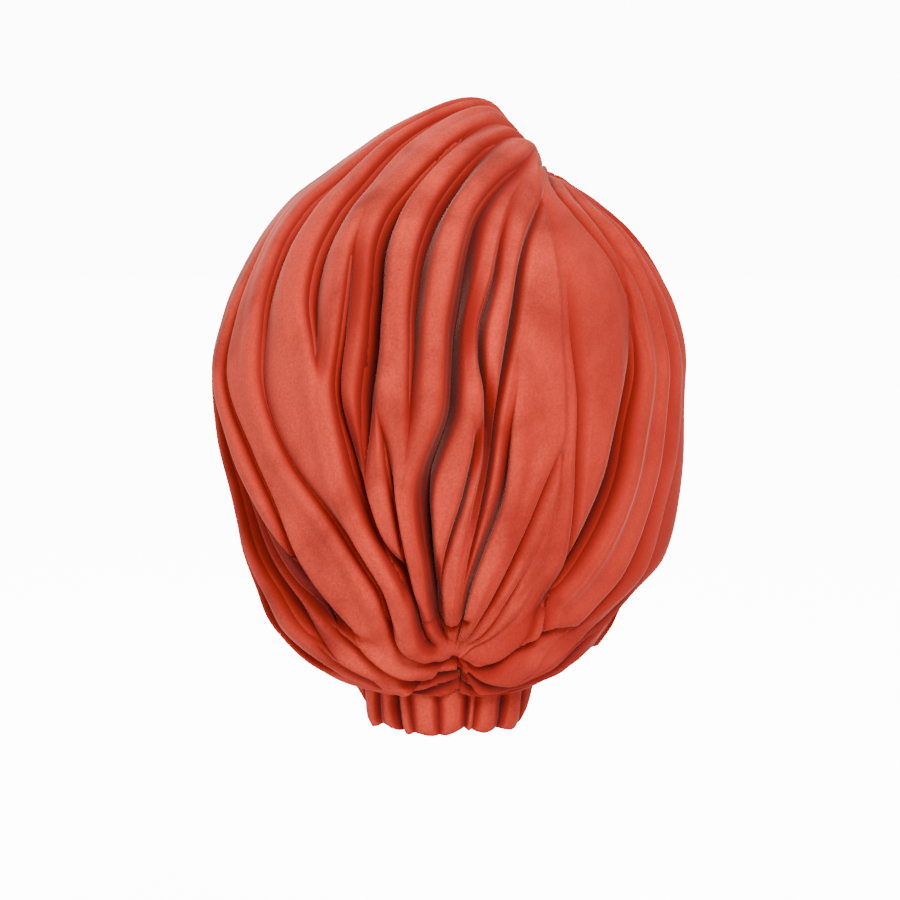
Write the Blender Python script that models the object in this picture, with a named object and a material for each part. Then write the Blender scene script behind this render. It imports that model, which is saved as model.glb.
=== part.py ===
"""Turban hat of soft pile cloth, seen in the row frame.

X is the wearer's left, the hat's front faces -Y and +Z is up.
The origin is the middle of the head opening. Table lengths are in
millimetres and table angles in degrees.
"""
import math

import bmesh
import bpy
import numpy as np

MM = 0.001

# Poles: the cloth is pinched at the crown and gathered at the nape
CROWN = np.array([-43.0, -10.0, 178.0])
NAPE = np.array([0.0, 100.0, -37.0])
CENTRE = (CROWN + NAPE) / 2

# Cloth
WALL = 1.5
GAP = 0.35
STEEPEST = 2.6
SLOPE_STEP = 0.5

# Outline of the stuffed form, one row for each level
BODY_COLUMNS = ("z", "left", "right", "back", "front")
BODY = (
    (-72, 18, -16, 72, 40),
    (-64, 38, -35, 84, 28),
    (-50, 47, -43, 92, 20),
    (-38, 65, -60, 99, 5),
    (-25, 77, -72, 103, -15),
    (-10, 84, -84, 107, -40),
    (5, 91, -95, 111, -62),
    (30, 97, -102, 115, -88),
    (55, 103, -106, 117, -104),
    (85, 107, -106, 116, -112),
    (112, 101, -101, 109, -112),
    (140, 88, -88, 94, -104),
    (160, 72, -73, 76, -92),
    (173, 54, -59, 61, -80),
    (187, 34, -42, 41, -62),
    (199, 12, -27, 17, -44),
    (206, -13, -13, -14, -14),
)

# Head opening: turn about +Z from the brow, and level, on the stuffed form
RIM_COLUMNS = ("place", "around", "z")
RIM = (
    ("brow", 0, 65),
    ("temple", 30, 42),
    ("ear", 60, 8),
    ("behind_ear", 76, -28),
    ("nape_side", 104, -51),
    ("nape", 180, -54),
)

# Folds of the cloth, one row for each groove between two folds. at_20 to
# at_165 are the groove's turn about the crown to nape axis at six stations
# along it, deep_20 to deep_165 its depth there, wide_l and wide_r its sides.
STATIONS = (20, 50, 80, 110, 140, 165)
FOLD_COLUMNS = ("name", "at_20", "at_50", "at_80", "at_110", "at_140", "at_165",
                "deep_20", "deep_50", "deep_80", "deep_110", "deep_140", "deep_165",
                "wide_l", "wide_r")
LEFT_EDGE = (6, -9, -17, -27, -38, -56)
LEFT_FOLDS = (
    ("lobe_pleat", -30, -30, -30, -30, -24, -24, 0, 0, 0, 0, 8, 8, 3, 9),
    ("tongue_pleat", 0, 0, 0, -4, -9, -5, 0, 0, 0, 3, 10, 11, 9, 3),
    ("panel_side", -2, 5, 6, 4, 4, 4, 1, 9, 13, 9, 10, 2, 3, 6),
    ("inner_pleat", 10, 13, 15, 9, 6, 7, 0, 4, 12, 9, 5, 0, 3, 7),
    ("short_tuck", 10, 10, 10, 10, 13, 26, 0, 0, 0, 3, 9, 3, 3, 6),
    ("main_pleat", 14, 26, 23, 23, 33, 37, 5, 10, 16, 13, 16, 14, 3, 11),
    ("second_pleat", 34, 38, 35, 34, 33, 33, 6, 12, 11, 5, 0, 0, 3, 10),
    ("nape_tuck", 44, 44, 44, 44, 44, 48, 0, 0, 0, 2, 9, 8, 3, 7),
    ("third_pleat", 46, 50, 47, 49, 52, 52, 5, 10, 14, 13, 0, 0, 3, 9),
    ("long_pleat", 60, 56, 52, 57, 57, 50, 0, 0, 7, 11, 13, 13, 3, 8),
    ("side_pocket", 70, 68, 64, 58, 58, 58, 8, 9, 9, 0, 0, 0, 3, 9),
    ("side_pleat", 82, 80, 80, 78, 72, 68, 6, 8, 6, 4, 6, 8, 5, 9),
    ("under_twin", 102, 101, 99, 96, 91, 89, 9, 9, 10, 14, 14, 12, 9, 3),
    ("ear_pleat", 118, 115, 111, 109, 107, 106, 8, 11, 9, 11, 10, 8, 4, 10),
    ("rim_pleat", 136, 130, 123, 119, 118, 122, 9, 10, 12, 9, 8, 8, 4, 9),
    ("temple_pleat", 152, 144, 134, 128, 128, 138, 10, 12, 9, 5, 7, 7, 4, 11),
    ("brow_pleat", 165, 157, 145, 132, 132, 132, 8, 9, 12, 10, 0, 0, 4, 9),
    ("front_pleat", 174, 167, 156, 150, 150, 150, 9, 11, 9, 8, 0, 0, 4, 8),
)
RIGHT_FOLDS = (
    ("lip_pocket", -5, -13, -21, -32, -50, -80, 0, 0, 4, 5, 6, 4, 3, 7),
    ("deep_pleat", -38, -50, -57, -62, -66, -70, 0, 3, 10, 15, 13, 3, 14, 3),
    ("crest_pleat", -52, -66, -78, -83, -89, -92, 8, 14, 13, 9, 7, 6, 3, 12),
    ("side_pleat", -72, -86, -95, -99, -99, -99, 6, 5, 4, 6, 9, 9, 4, 12),
    ("ear_pleat", -106, -113, -118, -120, -119, -118, 8, 9, 11, 10, 8, 8, 8, 4),
    ("rim_pleat", -125, -128, -127, -126, -128, -134, 9, 12, 9, 10, 9, 7, 9, 4),
    ("temple_pleat", -143, -142, -137, -131, -131, -131, 10, 9, 12, 9, 0, 0, 11, 4),
    ("brow_pleat", -160, -156, -148, -140, -140, -140, 8, 12, 9, 11, 0, 0, 9, 4),
    ("front_pleat", -172, -167, -159, -150, -150, -150, 9, 9, 11, 8, 0, 0, 8, 4),
)
FRONT_SEAM = 180.0
SLOPE_POWER = 1.7
ROUND_PART = 0.985
ROUND_FULL = 0.83
NAPE_END = (172.0, 179.0)
CROWN_CALM = 30.0
NAPE_CALM = 14.0
CALM_POWER = 0.8
POLE_GROW = 1.6
POLE_GROW_FROM = 0.6

# Pinch at the crown, tuck at the nape, turned edge at the rim
PINCH_DEPTH = 9.0
PINCH_TUCK = 9.0
PINCH_TUCK_REACH = 4.0
PINCH_REACH_RIGHT = 24.0
PINCH_REACH_LEFT = 8.0
PINCH_RIGHT_TO_LEFT = (-8.0, 14.0)
PINCH_LEFT_TO_RIGHT = (120.0, 170.0)
NAPE_TUCK = 9.0
NAPE_REACH = 5.0
LIP_STEP = 2.2
LIP_REACH = 9.0
CURL_DEPTH = 4.0
CURL_REACH = 5.0
CALM_REACH = 15.0
CALM_SHARE = 0.93
FAR_FROM_RIM = 90.0
FIRST_ROW = 0.6
LAST_ROW = 179.3

# Mesh divisions
LEFT_MAIN_COLUMNS = 52
LEFT_FRONT_COLUMNS = 12
RIGHT_MAIN_COLUMNS = 24
RIGHT_FRONT_COLUMNS = 14
WALL_COLUMNS = 1
LEAST_STRETCH = 0.7
LEAST_SHARE = 0.4
ROWS_TO_EAR = 15
ROWS_BEHIND_EAR = 12
ROWS_CROWD = 1.5
CENTRE_TO_CLOTH = 120.0
EAR_BEFORE = 148.0
EAR_STRIP = 6.0
EAR_COLUMNS = 4
EAR_MARGIN = 2.0
STRIP_MARGIN = 1.0
FRONT_ROW_SHARE = 0.75
RIM_SAMPLES = 241
RIM_PAST = 30.0
NEAREST = 20.0
FARTHEST = 260.0
BISECTIONS = 30
LAP = 2.0
LAP_GAP = 0.6

# Rim band
BAND_STEPS = 112
BAND_TUCK = 6.0
BAND_TUCK_NAPE = 2.0
BAND_DROP_FRONT = 3.0
BAND_DROP_NAPE = 23.0
BAND_INSET_BACK = 2.0
BAND_RUFFLES = 46
BAND_SLOW_RUFFLES = 17
BAND_SLOW_SHARE = 0.5
BAND_RUFFLE_DEPTH = 1.6
BAND_RUFFLE_FRONT = 0.15
BAND_WALL = 1.5
BAND_SMOOTHING = 6
BAND_PLUMB = 0.75
NAPE_FROM_Y = (46.0, 74.0)
NAPE_FROM_Z = (0.0, -40.0)
BACK_FROM_Y = (15.0, 40.0)

# Band's rows from the tucked edge down, inset under the wraps
BAND_COLUMNS = ("level", "inset", "wave_share")
BAND_ROWS = (
    (-1.0, 12.4, 0.1),
    (0.0, 11.4, 0.4),
    (0.45, 8.6, 1.0),
    (1.0, 7.6, 1.2),
)

CORAL = (0.66, 0.078, 0.045, 1.0)
CORAL_DEEP = (0.60, 0.066, 0.040, 1.0)


def smooth_step(low, high, value):
    """Rise from 0 at low to 1 at high with flat ends."""
    part = np.clip((value - low) / (high - low), 0.0, 1.0)
    return part * part * (3.0 - 2.0 * part)


def monotone(xs, ys, at, flat_start=False, flat_end=False):
    """Interpolate table values without overshoot."""
    xs = np.asarray(xs, dtype=float)
    ys = np.asarray(ys, dtype=float)
    step = np.diff(xs)
    slope = np.diff(ys) / step
    tangent = np.zeros_like(ys)
    tangent[0] = 0.0 if flat_start else slope[0]
    tangent[-1] = 0.0 if flat_end else slope[-1]
    for i in range(1, len(xs) - 1):
        if slope[i - 1] * slope[i] > 0:
            before = 2 * step[i] + step[i - 1]
            after = step[i] + 2 * step[i - 1]
            tangent[i] = (before + after) / (before / slope[i - 1] + after / slope[i])
    at = np.clip(at, xs[0], xs[-1])
    k = np.clip(np.searchsorted(xs, at, side="right") - 1, 0, len(xs) - 2)
    t = (at - xs[k]) / step[k]
    return ((1 + 2 * t) * (1 - t) ** 2 * ys[k] + t * (1 - t) ** 2 * step[k] * tangent[k]
            + t * t * (3 - 2 * t) * ys[k + 1] + t * t * (t - 1) * step[k] * tangent[k + 1])


def column(rows, names, name):
    """Return one named column of a table as an array."""
    return np.array([row[names.index(name)] for row in rows], dtype=float)


AXIS = (CROWN - NAPE) / np.linalg.norm(CROWN - NAPE)
TO_BACK = np.array([0.0, 1.0, 0.0]) - AXIS[1] * AXIS
TO_BACK = TO_BACK / np.linalg.norm(TO_BACK)
TO_LEFT = np.cross(TO_BACK, AXIS)


def direction(turn, sweep):
    """Unit vector at a turn about the axis and a sweep from the crown."""
    t = np.radians(turn)
    s = np.radians(sweep)
    return (np.cos(s)[..., None] * AXIS
            + (np.sin(s) * np.cos(t))[..., None] * TO_BACK
            + (np.sin(s) * np.sin(t))[..., None] * TO_LEFT)


def angles(point):
    """Turn and sweep of a point, the reverse of direction."""
    ray = np.asarray(point, dtype=float) - CENTRE
    ray = ray / np.linalg.norm(ray)
    turn = math.degrees(math.atan2(ray @ TO_LEFT, ray @ TO_BACK))
    return turn, math.degrees(math.acos(ray @ AXIS))


def body_level(z):
    """Middle and half widths of the stuffed form's ellipse at a level."""
    zs = column(BODY, BODY_COLUMNS, "z")
    left = column(BODY, BODY_COLUMNS, "left")
    right = column(BODY, BODY_COLUMNS, "right")
    back = column(BODY, BODY_COLUMNS, "back")
    front = column(BODY, BODY_COLUMNS, "front")
    mid_x = monotone(zs, (left + right) / 2, z)
    mid_y = monotone(zs, (back + front) / 2, z)
    half_x = np.sqrt(np.maximum(monotone(zs, ((left - right) / 2) ** 2, z), 1e-6))
    half_y = np.sqrt(np.maximum(monotone(zs, ((back - front) / 2) ** 2, z), 1e-6))
    return mid_x, mid_y, half_x, half_y


def inside_body(points):
    """Tell which points lie inside the stuffed form."""
    z = points[..., 2]
    mid_x, mid_y, half_x, half_y = body_level(z)
    ring = ((points[..., 0] - mid_x) / half_x) ** 2 + ((points[..., 1] - mid_y) / half_y) ** 2
    return (ring < 1.0) & (z < BODY[-1][0]) & (z > BODY[0][0])


def body_radius(turn, sweep):
    """Distance from the centre to the stuffed form along each direction."""
    ray = direction(turn, sweep)
    low = np.full(turn.shape, NEAREST)
    high = np.full(turn.shape, FARTHEST)
    for _ in range(BISECTIONS):
        middle = (low + high) / 2
        hit = inside_body(CENTRE + ray * middle[..., None])
        low = np.where(hit, middle, low)
        high = np.where(hit, high, middle)
    return (low + high) / 2


class RimSide:
    """Head opening on one side, as sweeps and turns."""

    def __init__(self, side):
        around = column(RIM, RIM_COLUMNS, "around")
        at = np.linspace(-RIM_PAST, 180.0 + RIM_PAST, RIM_SAMPLES)
        folded = 180.0 - np.abs(180.0 - np.abs(at))
        z = monotone(around, column(RIM, RIM_COLUMNS, "z"), folded, True, True)
        mid_x, mid_y, half_x, half_y = body_level(z)
        path = np.stack([mid_x + side * half_x * np.sin(np.radians(at)),
                         mid_y - half_y * np.cos(np.radians(at)), z], axis=1)
        pairs = np.array([angles(point) for point in path])
        turns = (side * pairs[:, 0]) % 360.0
        inside = np.flatnonzero(turns < FRONT_SEAM)
        first, last = inside[0], inside[-1]
        places = np.arange(len(turns), dtype=float)
        ends = (np.interp(-FRONT_SEAM, -turns[first - 1:first + 1], places[first - 1:first + 1]),
                np.interp(FRONT_SEAM, turns[last:last + 2], places[last:last + 2]))
        steps = np.concatenate([ends[:1], places[first:last + 1], ends[1:]])
        turns = np.interp(steps, places, turns)
        sweeps = np.interp(steps, places, pairs[:, 1])
        ear = int(np.argmin(np.where(sweeps < EAR_BEFORE, turns, 360.0)))
        self.ear_turn = turns[ear]
        self.ear_sweep = sweeps[ear]
        self.front_turns = turns[ear::-1]
        self.front_sweeps = sweeps[ear::-1]
        self.back_sweeps = sweeps[ear:]
        self.back_turns = turns[ear:]

    def near_ear(self):
        """Outward turns of the first front columns, evenly spaced along the rim."""
        until = np.searchsorted(self.front_turns, self.ear_turn + EAR_STRIP) + 1
        turns = self.front_turns[:until]
        sweeps = self.front_sweeps[:until]
        steps = np.hypot(np.diff(turns), np.diff(sweeps))
        length = np.concatenate([[0.0], np.cumsum(steps)])
        return np.interp(np.linspace(0.0, length[-1], EAR_COLUMNS + 1)[1:], length, turns)

    def front_sweep(self, turn):
        """Sweep at which a front column meets the rim."""
        return np.interp(np.abs(turn), self.front_turns, self.front_sweeps)

    def back_turn(self, sweep):
        """Turn of the rim behind the ear."""
        return np.interp(sweep, self.back_sweeps, self.back_turns)


RIMS = {1: RimSide(1), -1: RimSide(-1)}


def edge_turn(sweep):
    """Turn of the left wrap's free edge, which laps over the right wrap."""
    return monotone(STATIONS, LEFT_EDGE, sweep)


def at_stations(get, word, sweep):
    """Value of a fold's table columns along its sweep."""
    return monotone(STATIONS, [get["%s_%d" % (word, s)] for s in STATIONS], sweep)


def widening(sweep):
    """Factor by which folds widen, in degrees of turn, towards the poles."""
    share = np.minimum(1.0, np.sin(np.radians(sweep)) / POLE_GROW_FROM)
    return 1.0 + POLE_GROW * (1.0 - share)


def groove(row, turn, sweep):
    """Depth of one groove, with a steep round side and a soft side."""
    get = dict(zip(FOLD_COLUMNS, row))
    shift = turn - at_stations(get, "at", sweep)
    off = shift if get["wide_l"] < get["wide_r"] else -shift
    grow = widening(sweep)
    steep = np.clip(1.0 - off / (min(get["wide_l"], get["wide_r"]) * grow), 0.0, 1.0)
    soft = np.clip(1.0 + off / (max(get["wide_l"], get["wide_r"]) * grow), 0.0, 1.0)
    rounded = (1.0 - np.sqrt(1.0 - (ROUND_PART * steep) ** 2)) / ROUND_FULL
    section = np.where(off >= 0, rounded, soft ** SLOPE_POWER)
    calm_from = np.where(sweep < 90.0, CROWN_CALM, NAPE_CALM)
    near_pole = np.minimum(1.0, np.sin(np.radians(sweep)) / np.sin(np.radians(calm_from)))
    depth = at_stations(get, "deep", sweep) * (1.0 - smooth_step(*NAPE_END, sweep))
    return depth * section * near_pole ** CALM_POWER


def groove_depth(side, turn, sweep):
    """Depth of all grooves of one wrap, the deepest ones winning softly."""
    total = np.zeros(turn.shape)
    for row in LEFT_FOLDS if side > 0 else RIGHT_FOLDS:
        total = total + groove(row, turn, sweep) ** 3
    return total ** (1.0 / 3.0)


def wrap_radius(side, turn, sweep):
    """Outer radius of one wrap at each place, with folds and turned edges."""
    radius = body_radius(turn, sweep)
    depth = groove_depth(side, turn, sweep)
    across = (smooth_step(*PINCH_RIGHT_TO_LEFT, turn)
              * (1.0 - smooth_step(*PINCH_LEFT_TO_RIGHT, turn)))
    reach = PINCH_REACH_RIGHT + (PINCH_REACH_LEFT - PINCH_REACH_RIGHT) * across
    depth = depth + PINCH_DEPTH * np.exp(-(sweep / reach) ** 2)
    depth = depth + PINCH_TUCK * np.exp(-(sweep / PINCH_TUCK_REACH) ** 2)
    depth = depth + NAPE_TUCK * np.exp(-((180.0 - sweep) / NAPE_REACH) ** 2)
    rim = RIMS[side]
    to_back_rim = np.where(sweep > rim.ear_sweep,
                           rim.back_turn(sweep) - np.abs(turn), FAR_FROM_RIM)
    to_back_rim = to_back_rim * np.sin(np.radians(sweep))
    to_front_rim = np.where(np.abs(turn) > rim.ear_turn - 1e-6,
                            rim.front_sweep(turn) - sweep, FAR_FROM_RIM)
    to_rim = np.minimum(to_back_rim, to_front_rim)
    near = np.clip(1.0 - to_rim / CURL_REACH, 0.0, 1.0)
    calm = np.clip(1.0 - to_rim / CALM_REACH, 0.0, 1.0)
    depth = depth * (1.0 - CALM_SHARE * calm) + CURL_DEPTH * near * near
    if side < 0:
        from_edge = (edge_turn(sweep) - turn) * np.sin(np.radians(sweep))
        lip = np.clip(1.0 - from_edge / LIP_REACH, 0.0, 1.0)
        depth = depth + LIP_STEP * lip * lip
    return radius - depth


def wall_depth(side, turn, sweep):
    """Wall measured along the ray, larger where the cloth is steep."""
    here = wrap_radius(side, turn, sweep)
    along = (wrap_radius(side, turn, sweep + SLOPE_STEP)
             - wrap_radius(side, turn, sweep - SLOPE_STEP))
    across = (wrap_radius(side, turn + SLOPE_STEP, sweep)
              - wrap_radius(side, turn - SLOPE_STEP, sweep))
    arc = here * math.radians(2 * SLOPE_STEP)
    rise = np.hypot(along / arc, across / (arc * np.sin(np.radians(sweep))))
    return WALL * np.minimum(np.sqrt(1.0 + rise * rise), STEEPEST)


def choose_folds(side, low, high, count):
    """Folds between two outward turns, and the columns of each stretch."""
    found = []
    for row in LEFT_FOLDS if side > 0 else RIGHT_FOLDS:
        get = dict(zip(FOLD_COLUMNS, row))
        weights = np.array([get["deep_%d" % s] for s in STATIONS], dtype=float)
        line = np.array([get["at_%d" % s] for s in STATIONS], dtype=float)
        middle = side * float(weights @ line / weights.sum())
        if low < middle < high:
            found.append((middle, get))
    found.sort(key=lambda pair: pair[0])
    knots = np.array([low] + [pair[0] for pair in found] + [high])
    share = np.diff(knots)
    soft_total = count - WALL_COLUMNS * len(found)
    softs = np.maximum(1, np.floor(share / share.sum() * soft_total)).astype(int)
    while softs.sum() < soft_total:
        softs[int(np.argmax(share / softs))] += 1
    while softs.sum() > soft_total:
        softs[int(np.argmax(softs))] -= 1
    counts = [WALL_COLUMNS] * (2 * len(found) + 1)
    counts[::2] = [int(n) for n in softs]
    return [pair[1] for pair in found], counts


def spread(side, first, last, plan, sweep):
    """Place columns between two turns, so that each fold keeps its columns."""
    folds, counts = plan
    low, high = side * first, side * last
    places = []
    for get in folds:
        steep = min(get["wide_l"], get["wide_r"]) * float(widening(sweep))
        line = float(at_stations(get, "at", sweep))
        crest = line + steep if get["wide_l"] < get["wide_r"] else line - steep
        places += sorted((side * line, side * crest))
    least = min(LEAST_STRETCH, LEAST_SHARE * (high - low) / len(counts))
    knots = [low] + places + [high]
    for i in range(1, len(knots) - 1):
        knots[i] = max(knots[i], knots[i - 1] + least)
    for i in range(len(knots) - 2, 0, -1):
        knots[i] = min(knots[i], knots[i + 1] - least)
    turns = [low]
    for i, count in enumerate(counts):
        step = (knots[i + 1] - knots[i]) / count
        turns += [knots[i] + step * (k + 1) for k in range(count)]
    return side * np.array(turns)


def wrap_grid(side):
    """Turns and sweeps of one wrap's corners, and its faces."""
    rim = RIMS[side]
    to_ear = np.linspace(FIRST_ROW, RIMS[1].ear_sweep, ROWS_TO_EAR + 1)
    share = np.linspace(0.0, 1.0, ROWS_BEHIND_EAR + 1)[1:]
    share = 1.0 - (1.0 - share) ** ROWS_CROWD
    behind = RIMS[1].ear_sweep + (LAST_ROW - RIMS[1].ear_sweep) * share
    sweeps = np.concatenate([to_ear, behind])
    ear_row = int(np.argmin(np.abs(sweeps - rim.ear_sweep)))
    count = LEFT_MAIN_COLUMNS if side > 0 else RIGHT_MAIN_COLUMNS
    front_count = LEFT_FRONT_COLUMNS if side > 0 else RIGHT_FRONT_COLUMNS
    edge_low = side * LEFT_EDGE[-1] if side > 0 else side * LEFT_EDGE[0]
    main_plan = choose_folds(side, edge_low, rim.ear_turn - EAR_MARGIN, count - 2)
    strip = rim.near_ear()
    front_low = strip[-1] + STRIP_MARGIN
    front_plan = choose_folds(side, front_low, FRONT_SEAM, front_count - EAR_COLUMNS)
    turns = []
    for sweep in sweeps:
        ring = CENTRE_TO_CLOTH * math.sin(math.radians(sweep))
        slit = math.degrees(0.5 * GAP / ring)
        last = side * min(float(rim.back_turn(sweep)), FRONT_SEAM - slit)
        edge = float(edge_turn(sweep))
        if side > 0:
            inner = spread(side, edge + LAP, last, main_plan, sweep)
            turns.append(np.concatenate([[edge], inner]))
        else:
            inner = spread(side, edge, last, main_plan, sweep)
            turns.append(np.concatenate([[edge + LAP], inner]))
    main_turn = np.array(turns)
    main_sweep = np.repeat(sweeps[:, None], count, axis=1)
    front_turns = []
    front_sweeps = []
    for sweep in sweeps[:ear_row + 1]:
        part = (sweep - FIRST_ROW) / (sweeps[ear_row] - FIRST_ROW)
        slit = math.degrees(0.5 * GAP / (CENTRE_TO_CLOTH * math.sin(math.radians(sweep))))
        turn = spread(side, side * strip[-1], side * (FRONT_SEAM - slit), front_plan,
                      sweep * FRONT_ROW_SHARE)
        turn = np.concatenate([side * strip[:-1], turn])
        front_turns.append(turn)
        front_sweeps.append(FIRST_ROW + part * (rim.front_sweep(turn) - FIRST_ROW))
    front_turn = np.array(front_turns)
    front_sweep = np.array(front_sweeps)
    rows = len(sweeps)
    wide = front_turn.shape[1]

    def corner(row, col):
        if col < count:
            return row * count + col
        return rows * count + row * wide + (col - count)

    faces = []
    for row in range(rows - 1):
        last_col = count + wide if row < ear_row else count
        for col in range(last_col - 1):
            a, b = corner(row, col), corner(row, col + 1)
            c, d = corner(row + 1, col + 1), corner(row + 1, col)
            if side < 0 and col == 0:
                faces += [(a, b, d), (b, c, d)]
            else:
                faces += [(a, b, c), (a, c, d)]
    turn = np.concatenate([main_turn.ravel(), front_turn.ravel()])
    sweep = np.concatenate([main_sweep.ravel(), front_sweep.ravel()])
    return turn, sweep, faces


def wrap_walls(side):
    """Outer and inner corners of one wrap, with its faces."""
    turn, sweep, faces = wrap_grid(side)
    outer = wrap_radius(side, turn, sweep)
    wall = wall_depth(side, turn, sweep)
    if side < 0:
        under = turn > edge_turn(sweep) - 1e-6
        cover = wrap_radius(1, turn, sweep) - wall_depth(1, turn, sweep) - LAP_GAP
        outer = np.where(under, cover, outer)
    rays = direction(turn, sweep)
    top = CENTRE + rays * outer[:, None]
    low = CENTRE + rays * (outer - wall)[:, None]
    return top, low, faces


def closed_shell(name, top, low, faces, material):
    """Join an outer and an inner sheet into one closed body."""
    size = len(top)
    sides = set()
    for face in faces:
        for i in range(3):
            sides.add((face[i], face[(i + 1) % 3]))
    every = list(faces) + [tuple(size + k for k in reversed(face)) for face in faces]
    for a, b in sorted(sides):
        if (b, a) not in sides:
            every += [(b, a, size + a), (b, size + a, size + b)]
    return make_object(name, np.concatenate([top, low]), every, material)


def make_object(name, points, faces, material):
    """Build a mesh object in metres with outward faces."""
    mesh = bpy.data.meshes.new(name)
    mesh.from_pydata([tuple(p) for p in np.asarray(points) * MM], [], faces)
    body = bmesh.new()
    body.from_mesh(mesh)
    if body.calc_volume(signed=True) < 0:
        bmesh.ops.reverse_faces(body, faces=body.faces)
    body.to_mesh(mesh)
    body.free()
    for polygon in mesh.polygons:
        polygon.use_smooth = True
    mesh.materials.append(material)
    shape = bpy.data.objects.new(name, mesh)
    bpy.context.collection.objects.link(shape)
    return shape


def pile_cloth(name, colour):
    """Matte pile cloth with a soft edge sheen."""
    material = bpy.data.materials.new(name)
    material.use_nodes = True
    shader = material.node_tree.nodes["Principled BSDF"]
    shader.inputs["Base Color"].default_value = colour
    shader.inputs["Roughness"].default_value = 0.95
    shader.inputs["Sheen Weight"].default_value = 0.6
    material.diffuse_color = colour
    return material


def rim_loop(count):
    """Points around the head opening, evenly spaced, with outward normals."""
    turns = []
    sweeps = []
    for side in (1, -1):
        rim = RIMS[side]
        turn = np.concatenate([rim.front_turns[::-1], rim.back_turns[1:]])
        sweep = np.concatenate([rim.front_sweeps[::-1], rim.back_sweeps[1:]])
        if side < 0:
            turn = -turn[::-1][1:-1]
            sweep = sweep[::-1][1:-1]
        turns.append(turn)
        sweeps.append(sweep)
    turn = np.concatenate(turns)
    sweep = np.concatenate(sweeps)
    path = CENTRE + direction(turn, sweep) * body_radius(turn, sweep)[:, None]
    closed = np.vstack([path, path[:1]])
    length = np.concatenate([[0.0], np.cumsum(np.linalg.norm(np.diff(closed, axis=0), axis=1))])
    at = np.arange(count) / count * length[-1]
    even = np.stack([np.interp(at, length, closed[:, k]) for k in range(3)], axis=1)
    for _ in range(BAND_SMOOTHING):
        even = (np.roll(even, 1, axis=0) + 2 * even + np.roll(even, -1, axis=0)) / 4
    along = np.roll(even, -1, axis=0) - np.roll(even, 1, axis=0)
    along = along / np.linalg.norm(along, axis=1)[:, None]
    out = even - CENTRE
    out = out - np.sum(out * along, axis=1)[:, None] * along
    out = out / np.linalg.norm(out, axis=1)[:, None]
    down = np.cross(along, out)
    down = down * np.sign(-down[:, 2:3])
    return even, out, down


def build_band(material):
    """Edge band: a smooth hem in front that turns to ruffles at the nape."""
    path, out, down = rim_loop(BAND_STEPS)
    share = np.arange(BAND_STEPS) / BAND_STEPS
    nape = smooth_step(*NAPE_FROM_Y, path[:, 1]) * smooth_step(*NAPE_FROM_Z, path[:, 2])
    drop = BAND_DROP_FRONT + (BAND_DROP_NAPE - BAND_DROP_FRONT) * nape
    wave = (np.sin(2 * math.pi * BAND_RUFFLES * share)
            + BAND_SLOW_SHARE * np.sin(2 * math.pi * BAND_SLOW_RUFFLES * share))
    tuck = -BAND_TUCK + (BAND_TUCK - BAND_TUCK_NAPE) * nape
    plumb = BAND_PLUMB * nape[:, None]
    fall = down * (1 - plumb) + np.array([0, 0, -1.0]) * plumb
    fall = fall / np.linalg.norm(fall, axis=1)[:, None]
    top = []
    low = []
    for level, inset, wave_share in BAND_ROWS:
        reach = tuck if level < 0 else level * drop
        way = down if level < 0 else fall
        ruffle = BAND_RUFFLE_DEPTH * wave * wave_share
        ruffle = ruffle * (BAND_RUFFLE_FRONT + (1 - BAND_RUFFLE_FRONT) * nape)
        inset_here = inset + BAND_INSET_BACK * smooth_step(*BACK_FROM_Y, path[:, 1]) * (1 - nape)
        centre_line = path + way * np.reshape(reach, (-1, 1)) - out * inset_here[:, None]
        top.append(centre_line + out * ruffle[:, None])
        low.append(centre_line + out * (ruffle - BAND_WALL)[:, None])
    count = BAND_STEPS
    faces = []
    for row in range(len(BAND_ROWS) - 1):
        for i in range(count):
            j = (i + 1) % count
            a, b = row * count + i, row * count + j
            c, d = (row + 1) * count + j, (row + 1) * count + i
            faces += [(a, b, c), (a, c, d)]
    return closed_shell("edge_band", np.vstack(top), np.vstack(low), faces, material)


def clear_scene():
    """Remove every object that is already there."""
    for item in list(bpy.data.objects):
        bpy.data.objects.remove(item, do_unlink=True)


def build():
    """Build the hat's pieces."""
    clear_scene()
    left_cloth = pile_cloth("left_cloth", CORAL)
    right_cloth = pile_cloth("right_cloth", CORAL)
    band_cloth = pile_cloth("band_cloth", CORAL_DEEP)
    top, low, faces = wrap_walls(1)
    closed_shell("left_wrap", top, low, faces, left_cloth)
    top, low, faces = wrap_walls(-1)
    closed_shell("right_wrap", top, low, faces, right_cloth)
    build_band(band_cloth)


build()
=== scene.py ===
"""Looks of the turban hat: two wraps of folded pile cloth and a gathered edge band.

X is the wearer's left, the hat's front faces -Y and +Z is up. Tables hold
millimetres and degrees; meshes are made in metres.
"""

import logging
import math
from dataclasses import dataclass
from enum import Enum

import bmesh
import bpy
import numpy as np
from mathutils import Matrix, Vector


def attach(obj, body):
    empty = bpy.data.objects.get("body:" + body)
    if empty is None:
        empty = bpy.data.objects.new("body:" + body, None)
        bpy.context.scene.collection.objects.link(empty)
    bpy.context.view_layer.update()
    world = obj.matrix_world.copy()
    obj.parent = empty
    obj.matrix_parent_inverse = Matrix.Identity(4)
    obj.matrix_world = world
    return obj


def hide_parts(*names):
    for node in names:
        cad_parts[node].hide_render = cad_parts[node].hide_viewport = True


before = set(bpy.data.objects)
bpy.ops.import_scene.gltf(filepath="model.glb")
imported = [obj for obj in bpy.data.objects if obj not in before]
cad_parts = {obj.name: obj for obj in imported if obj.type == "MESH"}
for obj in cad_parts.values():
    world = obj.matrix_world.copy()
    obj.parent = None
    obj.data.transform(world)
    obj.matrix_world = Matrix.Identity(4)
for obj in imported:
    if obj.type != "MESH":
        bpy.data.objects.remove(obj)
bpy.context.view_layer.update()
LOG = logging.getLogger("turban")
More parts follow.
